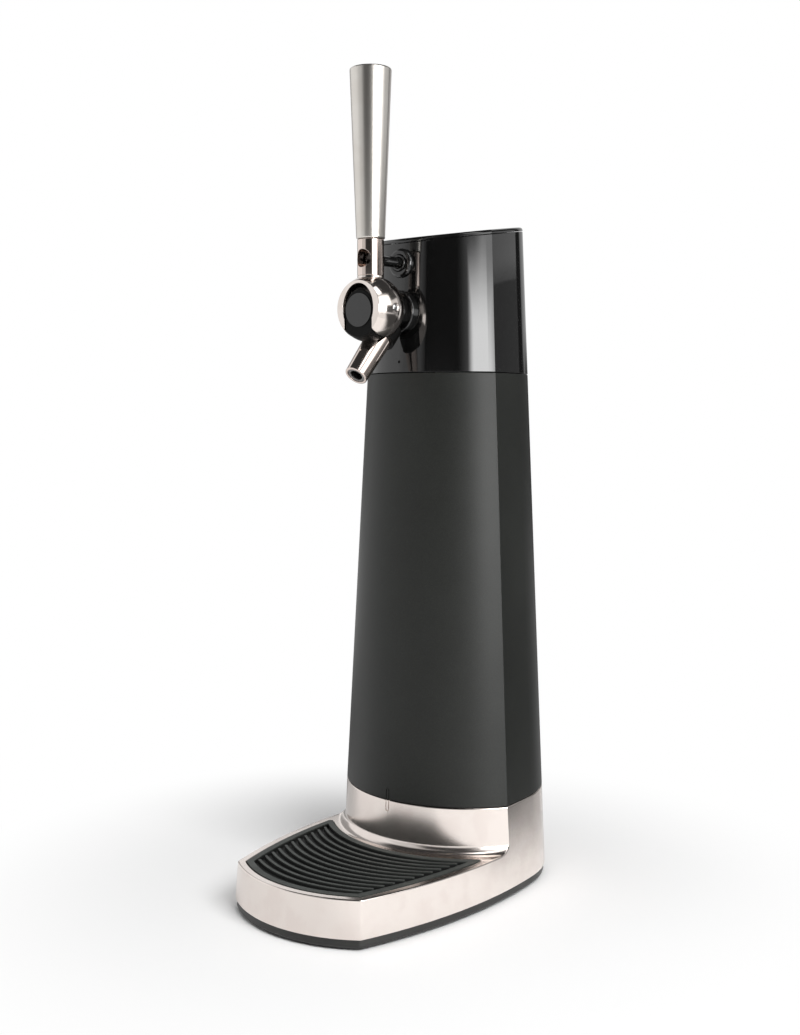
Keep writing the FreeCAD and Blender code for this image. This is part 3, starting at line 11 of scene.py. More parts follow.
import bmesh
import bpy
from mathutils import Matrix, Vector


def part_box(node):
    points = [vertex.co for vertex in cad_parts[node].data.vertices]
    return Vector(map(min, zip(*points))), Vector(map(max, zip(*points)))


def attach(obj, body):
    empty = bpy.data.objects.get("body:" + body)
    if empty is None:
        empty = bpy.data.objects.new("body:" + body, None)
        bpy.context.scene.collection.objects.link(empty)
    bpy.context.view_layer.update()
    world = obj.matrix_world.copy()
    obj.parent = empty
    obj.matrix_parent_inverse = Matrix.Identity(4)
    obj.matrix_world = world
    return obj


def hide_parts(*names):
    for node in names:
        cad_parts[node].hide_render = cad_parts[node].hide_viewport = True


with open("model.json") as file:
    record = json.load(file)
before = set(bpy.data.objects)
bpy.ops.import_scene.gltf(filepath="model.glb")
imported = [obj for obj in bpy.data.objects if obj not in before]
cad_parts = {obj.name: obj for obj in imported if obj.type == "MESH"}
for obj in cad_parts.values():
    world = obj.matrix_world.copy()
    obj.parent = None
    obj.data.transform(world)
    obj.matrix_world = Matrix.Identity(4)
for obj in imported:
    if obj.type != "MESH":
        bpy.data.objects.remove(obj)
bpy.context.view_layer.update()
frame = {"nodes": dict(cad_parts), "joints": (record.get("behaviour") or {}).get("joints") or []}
MM = 0.001

# %% [markdown]
# The camera comes next, because the photograph decides what must look right. It stands on the
# right of the tap at 40 degrees, a little higher than the middle of the tower, and looks
# level. A level camera keeps the tower's upright lines upright, and the vertical shift brings
# the whole object into the frame without tilting the camera.

# %% Camera
PICTURE_HEIGHT = 1035
CAMERA_AZIMUTH = math.radians(40.08)
CAMERA_PLACE = Vector((465.7, -553.5, 258.7)) * MM
FOCAL_PIXELS = 1310.0
HORIZON_ABOVE_MIDDLE = 101.4

camera_data = bpy.data.cameras.new("camera")
camera_data.lens = FOCAL_PIXELS * camera_data.sensor_width / PICTURE_HEIGHT
camera_data.shift_y = -HORIZON_ABOVE_MIDDLE / PICTURE_HEIGHT
camera = bpy.data.objects.new("camera", camera_data)
camera.location = CAMERA_PLACE
camera.rotation_euler = (math.radians(90), 0, CAMERA_AZIMUTH)
bpy.context.scene.collection.objects.link(camera)
bpy.context.scene.camera = camera
bpy.context.scene.view_settings.view_transform = "Standard"
print("lens", round(camera_data.lens, 2), "mm, shift", round(camera_data.shift_y, 4))

# %% [markdown]
# Shader maths reads best as plain arithmetic. This small class holds one number that changes
# over a surface, and each operator adds a Math node. A Finish is one material: it makes nodes
# in one way, with the type first, then the settings, then the sockets.

# %% Shader numbers and finishes
class Number:
    """A shader number. Arithmetic on it adds Math nodes to its finish."""

    def __init__(self, finish, socket):
        self.finish = finish
        self.socket = socket

    def maths(self, operation, *values):
        return self.finish.add("ShaderNodeMath", {"operation": operation}, dict(enumerate(values)))

    def __add__(self, other):
        return self.maths("ADD", self, other)

    def __sub__(self, other):
        return self.maths("SUBTRACT", self, other)

    def __rsub__(self, other):
        return self.maths("SUBTRACT", other, self)

    def __mul__(self, other):
        return self.maths("MULTIPLY", self, other)

    __radd__ = __add__
    __rmul__ = __mul__

    def larger(self, other):
        return self.maths("MAXIMUM", self, other)

    def unsigned(self):
        return self.maths("ABSOLUTE", self)

    def between(self, low, high):
        """0 below low, 1 above high, and a soft step from one to the other."""
        settings = {"interpolation_type": "SMOOTHSTEP"}
        return self.finish.add("ShaderNodeMapRange", settings, {0: self, 1: low, 2: high})


class Finish:
    """A procedural look made node by node, for a new material or for the world."""

    def __init__(self, name, world=None):
        self.holder = world or bpy.data.materials.new(name)
        self.holder.use_nodes = True
        self.tree = self.holder.node_tree
        self.tree.nodes.clear()

    def add(self, kind, settings=None, sockets=None, output=0):
        """Makes a node: its settings first, then the values or links of its sockets."""
        node = self.tree.nodes.new(kind)
        for name, value in (settings or {}).items():
            setattr(node, name, value)
        for name, value in (sockets or {}).items():
            if isinstance(value, Number):
                self.tree.links.new(value.socket, node.inputs[name])
            else:
                node.inputs[name].default_value = value
        return Number(self, node.outputs[output]) if len(node.outputs) else None

    def place(self):
        """The point on the piece, in metres in the row frame."""
        return self.add("ShaderNodeTexCoord", output="Object")

    def noise(self, size, detail=2.0, stretch=(1, 1, 1)):
        """Noise whose spots are about as large as size, in metres."""
        spot = self.add("ShaderNodeVectorMath", {"operation": "MULTIPLY"}, {0: self.place(), 1: stretch})
        sockets = {"Vector": spot, "Scale": 1 / size, "Detail": detail}
        return self.add("ShaderNodeTexNoise", sockets=sockets)

    def mix(self, share, first, second):
        """A colour between two colours."""
        sockets = {0: share, 6: first, 7: second}
        return self.add("ShaderNodeMix", {"data_type": "RGBA"}, sockets, output=2)

    def bump(self, height, depth):
        return self.add("ShaderNodeBump", sockets={"Height": height, "Distance": depth})

    def surface(self, shader, end="ShaderNodeOutputMaterial"):
        self.add(end, sockets={"Surface": shader})
        return self.holder

    def principled(self, **sockets):
        """The finished surface. Each word names a socket of the Principled shader."""
        named = {word.replace("_", " "): value for word, value in sockets.items()}
        return self.surface(self.add("ShaderNodeBsdfPrincipled", sockets=named))


def colour(red, green, blue):
    """A colour as read off a screen, 0 to 255, for a shader's socket."""
    def linear(value):
        value = value / 255
        return value / 12.92 if value <= 0.04045 else ((value + 0.055) / 1.055) ** 2.4

    return linear(red), linear(green), linear(blue), 1.0


print("shader helpers ready")

# %% [markdown]
# The photograph has a white background with the object's soft shadow on the floor. A real
# studio gets this from a white sweep. Here the floor is a white plane that keeps its shadow
# near the object and turns into plain white further out, for the camera and for reflections.

# %% Floor and world
FADE_START = 0.10
FADE_END = 0.27
WORLD_FILL = 0.25


def shown_ray(finish):
    """1 for rays that see the background: from the camera, off gloss, or through glass."""
    rays = [
        finish.add("ShaderNodeLightPath", output=name)
        for name in ("Is Camera Ray", "Is Glossy Ray", "Is Transmission Ray")
    ]
    return rays[0].larger(rays[1]).larger(rays[2])


def white_floor():
    finish = Finish("white_floor")
    flat = finish.add(
        "ShaderNodeVectorMath", {"operation": "MULTIPLY"}, {0: finish.place(), 1: (1, 1, 0)}
    )
    reach = finish.add("ShaderNodeVectorMath", {"operation": "LENGTH"}, {0: flat}, output="Value")
    fade = reach.between(FADE_START, FADE_END) * shown_ray(finish)
    paper = finish.add(
        "ShaderNodeBsdfPrincipled",
        sockets={"Base Color": colour(250, 250, 250), "Roughness": 0.9, "Specular IOR Level": 0.0},
    )
    glow = finish.add("ShaderNodeEmission", sockets={"Color": (1, 1, 1, 1), "Strength": 1.0})
    return finish.surface(finish.add("ShaderNodeMixShader", sockets={0: fade, 1: paper, 2: glow}))


bpy.ops.object.select_all(action="DESELECT")
bpy.ops.mesh.primitive_plane_add(size=8.0, location=(0, 0, 0))
floor = bpy.context.object
floor.name = "floor"
floor.data.materials.append(white_floor())

world = bpy.data.worlds.new("studio")
bpy.context.scene.world = world
air = Finish("studio_air", world)
sky = air.add(
    "ShaderNodeBackground",
    sockets={"Color": (1, 1, 1, 1), "Strength": shown_ray(air) * (1 - WORLD_FILL) + WORLD_FILL},
)
air.surface(sky, "ShaderNodeOutputWorld")
print("floor and world ready")

# %% [markdown]
# Three soft lamps light the object: the key from the right, one from above and a weak fill from
# the left. Metal and gloss show the room, so their look is made with cards, as a photographer
# sets them beside a shiny object. One tall bright card on the right draws the white strip down
# the cap and the bright side of the handle, and dark cards draw the dark bands. The cards show
# in gloss only, and their edges fade, so that each band of light ends softly.

# %% Lamps and cards
AIM = Vector((0, 0, 0.25))


def stand(thing, azimuth, elevation, distance):
    """Puts a lamp or card round the object. Azimuth 0 is in front, 90 on the right."""
    turn, rise = math.radians(azimuth), math.radians(elevation)
    way = Vector((math.sin(turn) * math.cos(rise), -math.cos(turn) * math.cos(rise), math.sin(rise)))
    thing.location = AIM + way * distance
    thing.rotation_euler = way.to_track_quat("Z", "Y").to_euler()


def soft_box(name, azimuth, elevation, distance, width, height, power):
    """A soft lamp that lights the object without showing in its gloss."""
    lamp = bpy.data.lights.new(name, "AREA")
    lamp.shape = "RECTANGLE"
    lamp.size = width
    lamp.size_y = height
    lamp.energy = power
    thing = bpy.data.objects.new(name, lamp)
    bpy.context.scene.collection.objects.link(thing)
    thing.visible_glossy = False
    stand(thing, azimuth, elevation, distance)
    print(name, "at azimuth", azimuth, "power", power)


soft_box("key_box", 74, 38, 1.5, 0.8, 0.8, 18.5)
soft_box("top_box", 30, 78, 1.8, 1.6, 1.6, 12.0)
soft_box("left_box", -55, 22, 1.6, 1.3, 1.1, 2.2)


def plain_card(name, shade, feather):
    """A glowing sheet that only gloss sees. The feather is the share of it that fades out."""
    bpy.ops.object.select_all(action="DESELECT")
    bpy.ops.mesh.primitive_plane_add(size=1.0, location=(0, 0, 0))
    thing = bpy.context.object
    thing.name = name
    finish = Finish(name)
    across, up = (
        finish.add("ShaderNodeSeparateXYZ", sockets={"Vector": finish.place()}, output=axis).unsigned()
        for axis in "XY"
    )
    fade = across.larger(up).between(0.5 - feather, 0.5)
    glow = finish.add("ShaderNodeEmission", sockets={"Strength": shade})
    clear = finish.add("ShaderNodeBsdfTransparent")
    sheet = finish.add("ShaderNodeMixShader", sockets={0: fade, 1: glow, 2: clear})
    thing.data.materials.append(finish.surface(sheet))
    thing.visible_camera = False
    thing.visible_diffuse = False
    thing.visible_transmission = False
    thing.visible_shadow = False
    return thing


def standing_card(name, first, last, shade, low=0.0, high=1.8, feather=0.12, distance=1.45):
    """An upright card between two azimuths and two heights."""
    thing = plain_card(name, shade, feather)
    thing.scale = (2 * distance * math.tan(math.radians(last - first) / 2), high - low, 1)
    stand(thing, (first + last) / 2, 0, distance)
    thing.location.z = (low + high) / 2


def lying_card(name, middle, size, shade, height=0.5 * MM):
    """A card that lies level, just over the floor or overhead."""
    thing = plain_card(name, shade, 0.15)
    thing.scale = (*size, 1)
    thing.location = (*middle, height)


standing_card("strip_card", 57, 97, 11.5, high=0.72, feather=0.25)
standing_card("strip_upper_card", 67, 122, 3.2, low=0.4, high=1.6, feather=0.36)
standing_card("right_upper_card", 106, 184, 0.72, low=0.55, high=1.0, feather=0.15)
standing_card("right_high_card", 112, 190, 0.06, low=0.93, distance=1.5)
standing_card("right_low_card", 94, 126, 0.09, high=0.6)
standing_card("front_card", -42, 3, 0.66, feather=0.35)
standing_card("camera_side_card", -20, 64, 0.035, feather=0.3, distance=1.42)
standing_card("right_rear_card", 122, 168, 0.22, high=0.62)
standing_card("rear_corner_card", 161, 181, 0.04)
standing_card("cap_rear_card", 171, 232, 0.6, low=0.3, high=0.8, distance=0.6)
standing_card("rear_card", 179, 232, 0.10, high=0.5)
standing_card("left_rear_card", 234, 262, 0.35)
lying_card("ceiling_card", (0, 0), (3.6, 3.6), 0.04, 1.75)
lying_card("rear_floor_card", (0.2, 0.78), (2.6, 1.5), 0.50)
lying_card("left_floor_card", (-0.42, 0.25), (0.9, 0.6), 0.55)
lying_card("left_rear_floor_card", (-0.32, 0.25), (0.56, 0.36), 0.25, MM)
lying_card("right_floor_card", (0.30, -0.2), (0.56, 0.7), 1.2)
lying_card("right_rear_floor_card", (0.65, 0.62), (1.2, 1.2), 0.06, MM)
lying_card("strip_top_card", (0.88, -0.2), (1.1, 0.5), 3.0, 1.70)
print("cards ready")

# %% [markdown]
# The outline of the body, seen from above, has four long arcs: the front, two flat sides and
# the back. It changes evenly from the table to the neck. The same few sizes are used for the
# base, the tower, the cap and the lid, so the pieces line up as they do on the real object.

# %% The body's outline
NECK_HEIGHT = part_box("tower_shell")[1].z
REAR_RADIUS = (57.9 * MM, 43.3 * MM)
REAR_CENTRE = (38.85 * MM, 47.3 * MM)
FRONT_RADIUS = (70.6 * MM, 50.6 * MM)
FRONT_REACH = (12.8 * MM, 1.15 * MM)
SIDE_RADIUS = 272.4 * MM
SIDE_TURN = math.radians(8.2)
BASE_FRONT_RADIUS = 74.9 * MM
BASE_FRONT_REACH = 97.05 * MM
BASE_DRAFT = math.radians(4.9)
STEPS = {"front": 44, "corner": 6, "side": 26, "rear": 52}


def at_height(pair, z):
    """A size that changes evenly from the table to the neck."""
    return pair[0] + (pair[1] - pair[0]) * z / NECK_HEIGHT


def front_circle(z, inset, base):
    """Y of the centre, and radius, of the front arc of the base or of the tower."""
    if base:
        return BASE_FRONT_RADIUS - BASE_FRONT_REACH + z * math.tan(BASE_DRAFT), BASE_FRONT_RADIUS - inset
    radius = at_height(FRONT_RADIUS, z)
    return radius - at_height(FRONT_REACH, z), radius - inset


def side_circle(z, inset):
    """How far the side arcs' centres lie beyond the middle, their Y, and their radius."""
    spread = SIDE_RADIUS - at_height(REAR_RADIUS, z)
    y = at_height(REAR_CENTRE, z) - spread * math.sin(SIDE_TURN)
    return spread * math.cos(SIDE_TURN), y, SIDE_RADIUS - inset


def circles_meet(a, radius_a, b, radius_b):
    """The crossing of two circles that lies nearer the front."""
    gap = b - a
    along = (gap.length_squared + radius_a**2 - radius_b**2) / 2 / gap.length
    across = math.sqrt(radius_a**2 - along**2)
    unit = gap.normalized()
    spots = [a + unit * along + Vector((-unit.y, unit.x)) * across * s for s in (1, -1)]
    return min(spots, key=lambda spot: spot.y)


def corner_place(z, inset, base, corner):
    """The middle of the small corner arc that joins the front and the right side."""
    front_y, front_r = front_circle(z, inset, base)
    side_x, side_y, side_r = side_circle(z, inset)
    return circles_meet(
        Vector((0, front_y)), front_r - corner, Vector((-side_x, side_y)), side_r - corner
    )


print("neck height", round(NECK_HEIGHT, 4))

# %% [markdown]
# A few working helpers follow. Everything is deselected before a new piece is started, since
# the frame's nodes come in selected. A dot is a plane merged to one point. The spin operator
# then draws an arc from that point, and because spin turns clockwise, the angle is negated.

# %% Working helpers
WELD = 0.002 * MM
NEAR = 0.01 * MM
CORNER = 0.8 * MM


def mode(word):
    bpy.ops.object.mode_set(mode=word)


def start(name):
    """A new, empty piece, open in edit mode."""
    bpy.ops.object.select_all(action="DESELECT")
    bpy.ops.mesh.primitive_plane_add(size=MM, location=(0, 0, 0))
    piece = bpy.context.object
    piece.name = name
    mode("EDIT")
    bpy.ops.mesh.delete(type="VERT")
    return piece


def dot(place):
    """One selected point, the start of a line or an arc."""
    bpy.ops.mesh.select_mode(type="VERT")
    bpy.ops.mesh.select_all(action="DESELECT")
    bpy.ops.mesh.primitive_plane_add(size=MM, location=place)
    bpy.ops.mesh.merge(type="CENTER")


def sweep(centre, angle, steps, axis=(0, 0, 1)):
    """Spins what is selected anticlockwise about an axis."""
    bpy.ops.mesh.spin(steps=steps, angle=-angle, center=centre, axis=axis)


def line_to(move):
    bpy.ops.mesh.extrude_region_move(TRANSFORM_OT_translate={"value": move})


def pick(part, test):
    """Selects the verts, edges or faces that pass a test on their middle."""
    kinds = {"verts": "VERT", "edges": "EDGE", "faces": "FACE"}
    bpy.ops.mesh.select_mode(type=kinds[part])
    bpy.ops.mesh.select_all(action="DESELECT")
    mesh = bmesh.from_edit_mesh(bpy.context.object.data)
    count = 0
    for item in getattr(mesh, part):
        if part == "verts":
            middle = item.co
        elif part == "edges":
            middle = (item.verts[0].co + item.verts[1].co) / 2
        else:
            middle = item.calc_center_median()
        if test(item, middle):
            item.select_set(True)
            count += 1
    mesh.select_flush(True)
    bmesh.update_edit_mesh(bpy.context.object.data)
    return count


def weld():
    bpy.ops.mesh.select_all(action="SELECT")
    bpy.ops.mesh.remove_doubles(threshold=WELD)


def face_out():
    bpy.ops.mesh.select_all(action="SELECT")
    bpy.ops.mesh.normals_make_consistent(inside=False)


def modify(piece, kind, **settings):
    """Adds a modifier with its settings and applies it."""
    bpy.context.view_layer.objects.active = piece
    modifier = piece.modifiers.new(kind.lower(), kind)
    for name, value in settings.items():
        setattr(modifier, name, value)
    bpy.ops.object.modifier_apply(modifier=modifier.name)


def soften(piece, width, segments=3, angle=35):
    """Rounds the sharp edges, as every moulded or cast edge is rounded a little."""
    modify(
        piece, "BEVEL", width=width, segments=segments, limit_method="ANGLE",
        angle_limit=math.radians(angle), use_clamp_overlap=False,
    )


def smooth(piece, angle=30):
    """Smooth shading up to an angle. The large faces lead, so no streak runs from a cut."""
    bpy.ops.object.select_all(action="DESELECT")
    piece.select_set(True)
    bpy.context.view_layer.objects.active = piece
    bpy.ops.object.shade_smooth_by_angle(angle=math.radians(angle))
    modify(piece, "WEIGHTED_NORMAL", keep_sharp=True, weight=80)


def cut(piece, *cutters):
    """Takes the cutters out of the piece and throws them away."""
    for cutter in cutters:
        modify(piece, "BOOLEAN", operation="DIFFERENCE", object=cutter, solver="EXACT")
        bpy.data.objects.remove(cutter)


def join(piece, other):
    """Makes one closed piece of two."""
    modify(piece, "BOOLEAN", operation="UNION", object=other, solver="EXACT")
    bpy.data.objects.remove(other)


def settle(piece, place=(0, 0, 0), turn=(0, 0, 0)):
    """Moves a piece made at the origin to its place and applies the move."""
    piece.rotation_euler = turn
    piece.location = place
    bpy.ops.object.select_all(action="DESELECT")
    piece.select_set(True)
    bpy.context.view_layer.objects.active = piece
    bpy.ops.object.transform_apply(location=True, rotation=True, scale=True)


def finish_piece(piece, material, body, slot, *nodes):
    """Gives a piece its finish, its body and the CAD nodes that it stands for."""
    piece.data.materials.clear()
    piece.data.materials.append(material)
    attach(piece, body)
    if nodes:
        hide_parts(*nodes)
    print(piece.name, "faces", len(piece.data.polygons))


def ring(z, inset=0.0, base=False, corner=CORNER):
    """Draws the closed outline at a height, drawn in from the skin by an inset."""
    front_y, front_r = front_circle(z, inset, base)
    side_x, side_y, _ = side_circle(z, inset)
    middle = corner_place(z, inset, base, corner)
    front_end = math.atan2(middle.y - front_y, middle.x)
    side_start = math.atan2(middle.y - side_y, middle.x + side_x)
    dot((-front_r * math.cos(front_end), front_y + front_r * math.sin(front_end), z))
    sweep((0, front_y, z), math.pi + 2 * front_end, STEPS["front"])
    sweep((middle.x, middle.y, z), side_start - front_end, STEPS["corner"])
    sweep((-side_x, side_y, z), SIDE_TURN - side_start, STEPS["side"])
    sweep((0, at_height(REAR_CENTRE, z), z), math.pi - 2 * SIDE_TURN, STEPS["rear"])
    sweep((side_x, side_y, z), SIDE_TURN - side_start, STEPS["side"])
    sweep((-middle.x, middle.y, z), side_start - front_end, STEPS["corner"])
    weld()


def join_rings(low, high):
    """Bridges the two rings at these heights with one wall."""
    pick("edges", lambda e, m: all(abs(v.co.z - low) < NEAR or abs(v.co.z - high) < NEAR for v in e.verts))
    bpy.ops.mesh.bridge_edge_loops()


def close_ring(z):
    """Fills the ring at a height with one face."""
    pick("edges", lambda e, m: all(abs(v.co.z - z) < NEAR for v in e.verts))
    bpy.ops.mesh.edge_face_add()


def walled_block(name, low, high, inset=0.0, base=False, corner=CORNER):
    """A closed block between the outlines at two heights."""
    piece = start(name)
    ring(low, inset, base, corner)
    ring(high, inset, base, corner)
    join_rings(low, high)
    close_ring(low)
    close_ring(high)
    face_out()
    mode("OBJECT")
    return piece


def box_cutter(low, high):
    bpy.ops.object.select_all(action="DESELECT")
    middle = (Vector(low) + Vector(high)) / 2
    bpy.ops.mesh.primitive_cube_add(size=1, location=middle)
    cutter = bpy.context.object
    cutter.scale = Vector(high) - Vector(low)
    return cutter


def round_cutter(radius, start_at, end_at, points=64):
    """A round bar from one point to another."""
    bpy.ops.object.select_all(action="DESELECT")
    start_at, end_at = Vector(start_at), Vector(end_at)
    way = end_at - start_at
    bpy.ops.mesh.primitive_cylinder_add(
        vertices=points, radius=radius, depth=way.length, location=(start_at + end_at) / 2,
        rotation=way.to_track_quat("Z", "Y").to_euler(),
    )
    return bpy.context.object


def turned(name, profile, rounds=(), steps=96, round_steps=4):
    """A turned piece about the Z axis. The profile is drawn as (radius, height) points, the
    corners listed in rounds (number, size) are rounded, and the line is spun once round."""
    piece = start(name)
    dot((profile[0][0], 0, profile[0][1]))
    for before, after in zip(profile, profile[1:]):
        line_to((after[0] - before[0], 0, after[1] - before[1]))
    for number, size in rounds:
        spot = Vector((profile[number][0], 0, profile[number][1]))
        pick("verts", lambda v, m: (m - spot).length < WELD)
        bpy.ops.mesh.bevel(offset=size, segments=round_steps, affect="VERTICES")
    bpy.ops.mesh.select_all(action="SELECT")
    sweep((0, 0, 0), 2 * math.pi, steps)
    weld()
    face_out()
    mode("OBJECT")
    return piece


def dome(radius, top, rise, steps):
    """The profile of a shallow dome, from its rim to its middle."""
    return [(radius * (1 - n / steps), top - rise * (1 - n / steps) ** 2) for n in range(steps + 1)]


print("helpers ready")

# %% [markdown]
# The finishes come before the pieces. Every one is procedural and reads the point on the
# piece, so it stays put when a joint moves. Metal gets a blasted grain, a slow change of tone
# as from handling, and a grain that breaks up its gloss. Plastic and rubber get a moulded
# grain in their bump and specks in their colour.

# %% Metals and plastics
def metal(name, tone, shade, roughness, grain=0.3 * MM, depth=0.0015 * MM, stretch=(1, 1, 1)):
    """Bare or plated metal: grain in the bump and the gloss, handling marks in the tone."""
    finish = Finish(name)
    fine = finish.noise(grain, 3.0, stretch)
    marks = finish.noise(14 * MM, 5.0)
    touched = marks.between(0.42, 0.62)
    return finish.principled(
        Base_Color=finish.mix(touched * 0.6, tone, shade),
        Metallic=1.0,
        Roughness=roughness + fine * 0.03 + touched * 0.008 - 0.02,
        Normal=finish.bump(fine, depth),
    )


def moulded(name, tone, shade, roughness, grain=0.45 * MM, depth=0.012 * MM, gloss=0.5):
    """Matt plastic or rubber: specks in the colour and a fine grain in the bump."""
    finish = Finish(name)
    specks = finish.noise(grain, 3.0)
    clouds = finish.noise(28 * MM, 3.0)
    share = specks.between(0.35, 0.7) * 0.75 + clouds.between(0.3, 0.7) * 0.25
    return finish.principled(
        Base_Color=finish.mix(share, shade, tone),
        Roughness=roughness + specks * 0.1 - 0.05,
        Specular_IOR_Level=gloss,
        Normal=finish.bump(specks, depth),
    )


def gloss_black(name, tone=(12, 12, 12), roughness=0.035):
    """High-gloss black: a faint orange peel and fine wiping marks in the gloss."""
    finish = Finish(name)
    peel = finish.noise(5 * MM, 1.0)
    wiping = finish.noise(1.2 * MM, 4.0, (1, 1, 0.08)).between(0.55, 0.8)
    dust = finish.noise(0.7 * MM, 2.0).between(0.73, 0.8)
    return finish.principled(
        Base_Color=finish.mix(dust * 0.25, colour(*tone), colour(90, 88, 84)),
        Roughness=wiping * 0.03 + dust * 0.2 + roughness,
        IOR=1.6,
        Normal=finish.bump(peel, 0.0025 * MM),
    )


finishes = {
    "base_nickel": metal(
        "satin_nickel", colour(228, 219, 213), colour(222, 211, 205), 0.18, depth=0.0008 * MM
    ),
    "handle_nickel": metal(
        "handle_nickel", colour(216, 212, 206), colour(208, 203, 196), 0.29, depth=0.0005 * MM
    ),
    "ball_nickel": metal(
        "ball_nickel", colour(228, 219, 213), colour(220, 210, 202), 0.13, depth=0.0008 * MM
    ),
    "tap_nickel": metal(
        "polished_nickel", colour(222, 208, 200), colour(214, 198, 189), 0.09, 0.6 * MM, 0.0004 * MM
    ),
    "screw_steel": metal("screw_steel", colour(205, 205, 206), colour(180, 180, 182), 0.22),
    "brass_fitting": metal("turned_brass", colour(216, 184, 120), colour(190, 152, 88), 0.25),
    "motor_steel": metal("drawn_steel", colour(196, 197, 199), colour(170, 171, 174), 0.3),
    "tower_charcoal": moulded(
        "tower_charcoal", colour(35, 37, 34), colour(24, 25, 23), 0.43, gloss=0.3
    ),
    "skirt_black": moulded("skirt_black", colour(32, 32, 29), colour(22, 22, 20), 0.42),
    "foot_rubber": moulded("foot_rubber", colour(44, 44, 44), colour(30, 30, 30), 0.75),
    "chamber_grey": moulded("chamber_grey", colour(178, 180, 182), colour(166, 168, 171), 0.45),
    "tube_natural": moulded("natural_tube", colour(228, 228, 220), colour(214, 214, 204), 0.35),
    "inner_black": moulded("inner_black", colour(40, 40, 40), colour(28, 28, 28), 0.5),
    "hose_clear": moulded("soft_hose", colour(214, 213, 204), colour(196, 195, 186), 0.3),
    "cell_wrap": moulded("cell_wrap", colour(84, 122, 176), colour(70, 106, 160), 0.3),
    "board_green": moulded("circuit_board", colour(34, 108, 66), colour(18, 84, 48), 0.4, 1.2 * MM),
    "cap_black": gloss_black("cap_black"),
    "tap_black": gloss_black("tap_black", (16, 16, 16), 0.06),
    "light_lens": moulded("light_lens", colour(9, 9, 9), colour(5, 5, 5), 0.5, gloss=0.1),
}
print(len(finishes), "finishes")

# %% [markdown]
# The mat is soft black rubber. The tops of its ribs and of its border are painted grey, patchy
# by noise, as a painted highlight for the light that falls on them, while the channels between
# them stay dark. Height above the channel is read from the point on the piece, so the painted
# light sits on the ribs and on the border.

# %% Mat rubber
MAT_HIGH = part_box("drip_mat")[1]


def worn_rubber():
    finish = Finish("worn_rubber")
    height = finish.add("ShaderNodeSeparateXYZ", sockets={"Vector": finish.place()}, output="Z")
    specks = finish.noise(0.5 * MM, 3.0)
    top = height.between(MAT_HIGH.z - 0.9 * MM, MAT_HIGH.z - 0.1 * MM)
    # Painted highlight: the rib and border tops go lighter grey to stand in for the light on them.
    painted_top_light = top * (specks * 0.6 + finish.noise(9 * MM, 3.0) * 0.7)
    return finish.principled(
        Base_Color=finish.mix(painted_top_light, colour(22, 23, 22), colour(74, 78, 75)),
        Roughness=0.62 - painted_top_light * 0.12,
        Normal=finish.bump(specks, 0.015 * MM),
    )


finishes["mat_rubber"] = worn_rubber()
print("mat top at", round(MAT_HIGH.z, 4))

# %% [markdown]
# The tower skin is one tapered wall. Two outlines, at its foot and at its neck, are bridged to
# a block. A bevel softens its rims, so that the seams catch a thin line of light. A second
# block, drawn in by the wall, is then taken out of it. Solidify would fold the wall over itself
# in the crisp front corners.

# %% Tower skin
TOWER_WALL = 2.5 * MM
TOWER_ROUND = 0.45 * MM
SPACE_CORNER = 3 * MM
MARK_WIDTH = 2.4 * MM
MARK_LINE = 0.5 * MM
MARK_REACH = 6.0 * MM
MARK_LEAD = 2 * MM
MARK_STROKE = 2.5 * MM
UP_AND_OVER = (0, -1, 0)


def mark_cutter(seam, way, face):
    """The engraved half loop that lines the tower up with the base."""
    half = (MARK_WIDTH - MARK_LINE) / 2
    straight = MARK_REACH - MARK_WIDTH / 2
    cutter = start("mark_cutter")
    dot((-half, face - MARK_LEAD, seam - way * MM))
    line_to((0, 0, way * (straight + MM)))
    sweep((0, 0, seam + way * straight), -way * math.pi, 12, UP_AND_OVER)
    line_to((0, 0, -way * (straight + MM)))
    bpy.ops.mesh.select_all(action="SELECT")
    line_to((0, MARK_STROKE, 0))
    mode("OBJECT")
    modify(cutter, "SOLIDIFY", thickness=MARK_LINE, offset=0)
    return cutter


def make_tower():
    low, high = (corner.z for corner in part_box("tower_shell"))
    piece = walled_block("tower_skin", low, high)
    soften(piece, TOWER_ROUND)
    cut(
        piece,
        walled_block("tower_space", low - MM, high + MM, TOWER_WALL, corner=SPACE_CORNER),
        mark_cutter(low, 1, -at_height(FRONT_REACH, low + MARK_REACH / 2)),
    )
    smooth(piece)
    finish_piece(piece, finishes["tower_charcoal"], "tower", "tower_charcoal", "tower_shell")


make_tower()

# %% [markdown]
# The cap is the same tapered wall in gloss black, cut off by a slope. A large tilted block
# does the cutting, and the lid is what lies between two such cuts. Round bars bore the holes
# for the tap's flange, the push rod and the small light.

# %% Cap and lid
LID_FRONT = 357.0 * MM
LID_WALL = 2.2 * MM
SEAM_GAP = 0.3 * MM
CAP_WALL = 3.0 * MM
CAP_ROUND = 0.35 * MM
LID_ROUND = 1.8 * MM
BLOCK_OVER = 10 * MM
SPACE_OVER = 11 * MM
THROUGH = 12 * MM
FLANGE_RADIUS = 11.8 * MM
FLANGE_SEAT = 1.6 * MM
SHANK_RADIUS = 7.8 * MM
BEZEL_RADIUS = 8.1 * MM
BEZEL_SEAT = 0.8 * MM
BEZEL_NECK = 5.6 * MM
LIGHT_RADIUS = 0.75 * MM
LIGHT_GAP = 0.1 * MM
TAB_X = 32 * MM
TAB_PLACES = (28 * MM, 50 * MM)
TAB_SIZE = (1.6 * MM, 9 * MM, 4 * MM)
joints = {joint["name"]: joint for joint in frame["joints"]}
LID_NORMAL = Vector(joints["lid_lift"]["axis"]).normalized()
LID_SLOPE = math.atan2(-LID_NORMAL.y, LID_NORMAL.z)
LID_POINT = Vector((0, -at_height(FRONT_REACH, LID_FRONT), LID_FRONT))
TAP = Vector(joints["tap_lever"]["pos_m"])


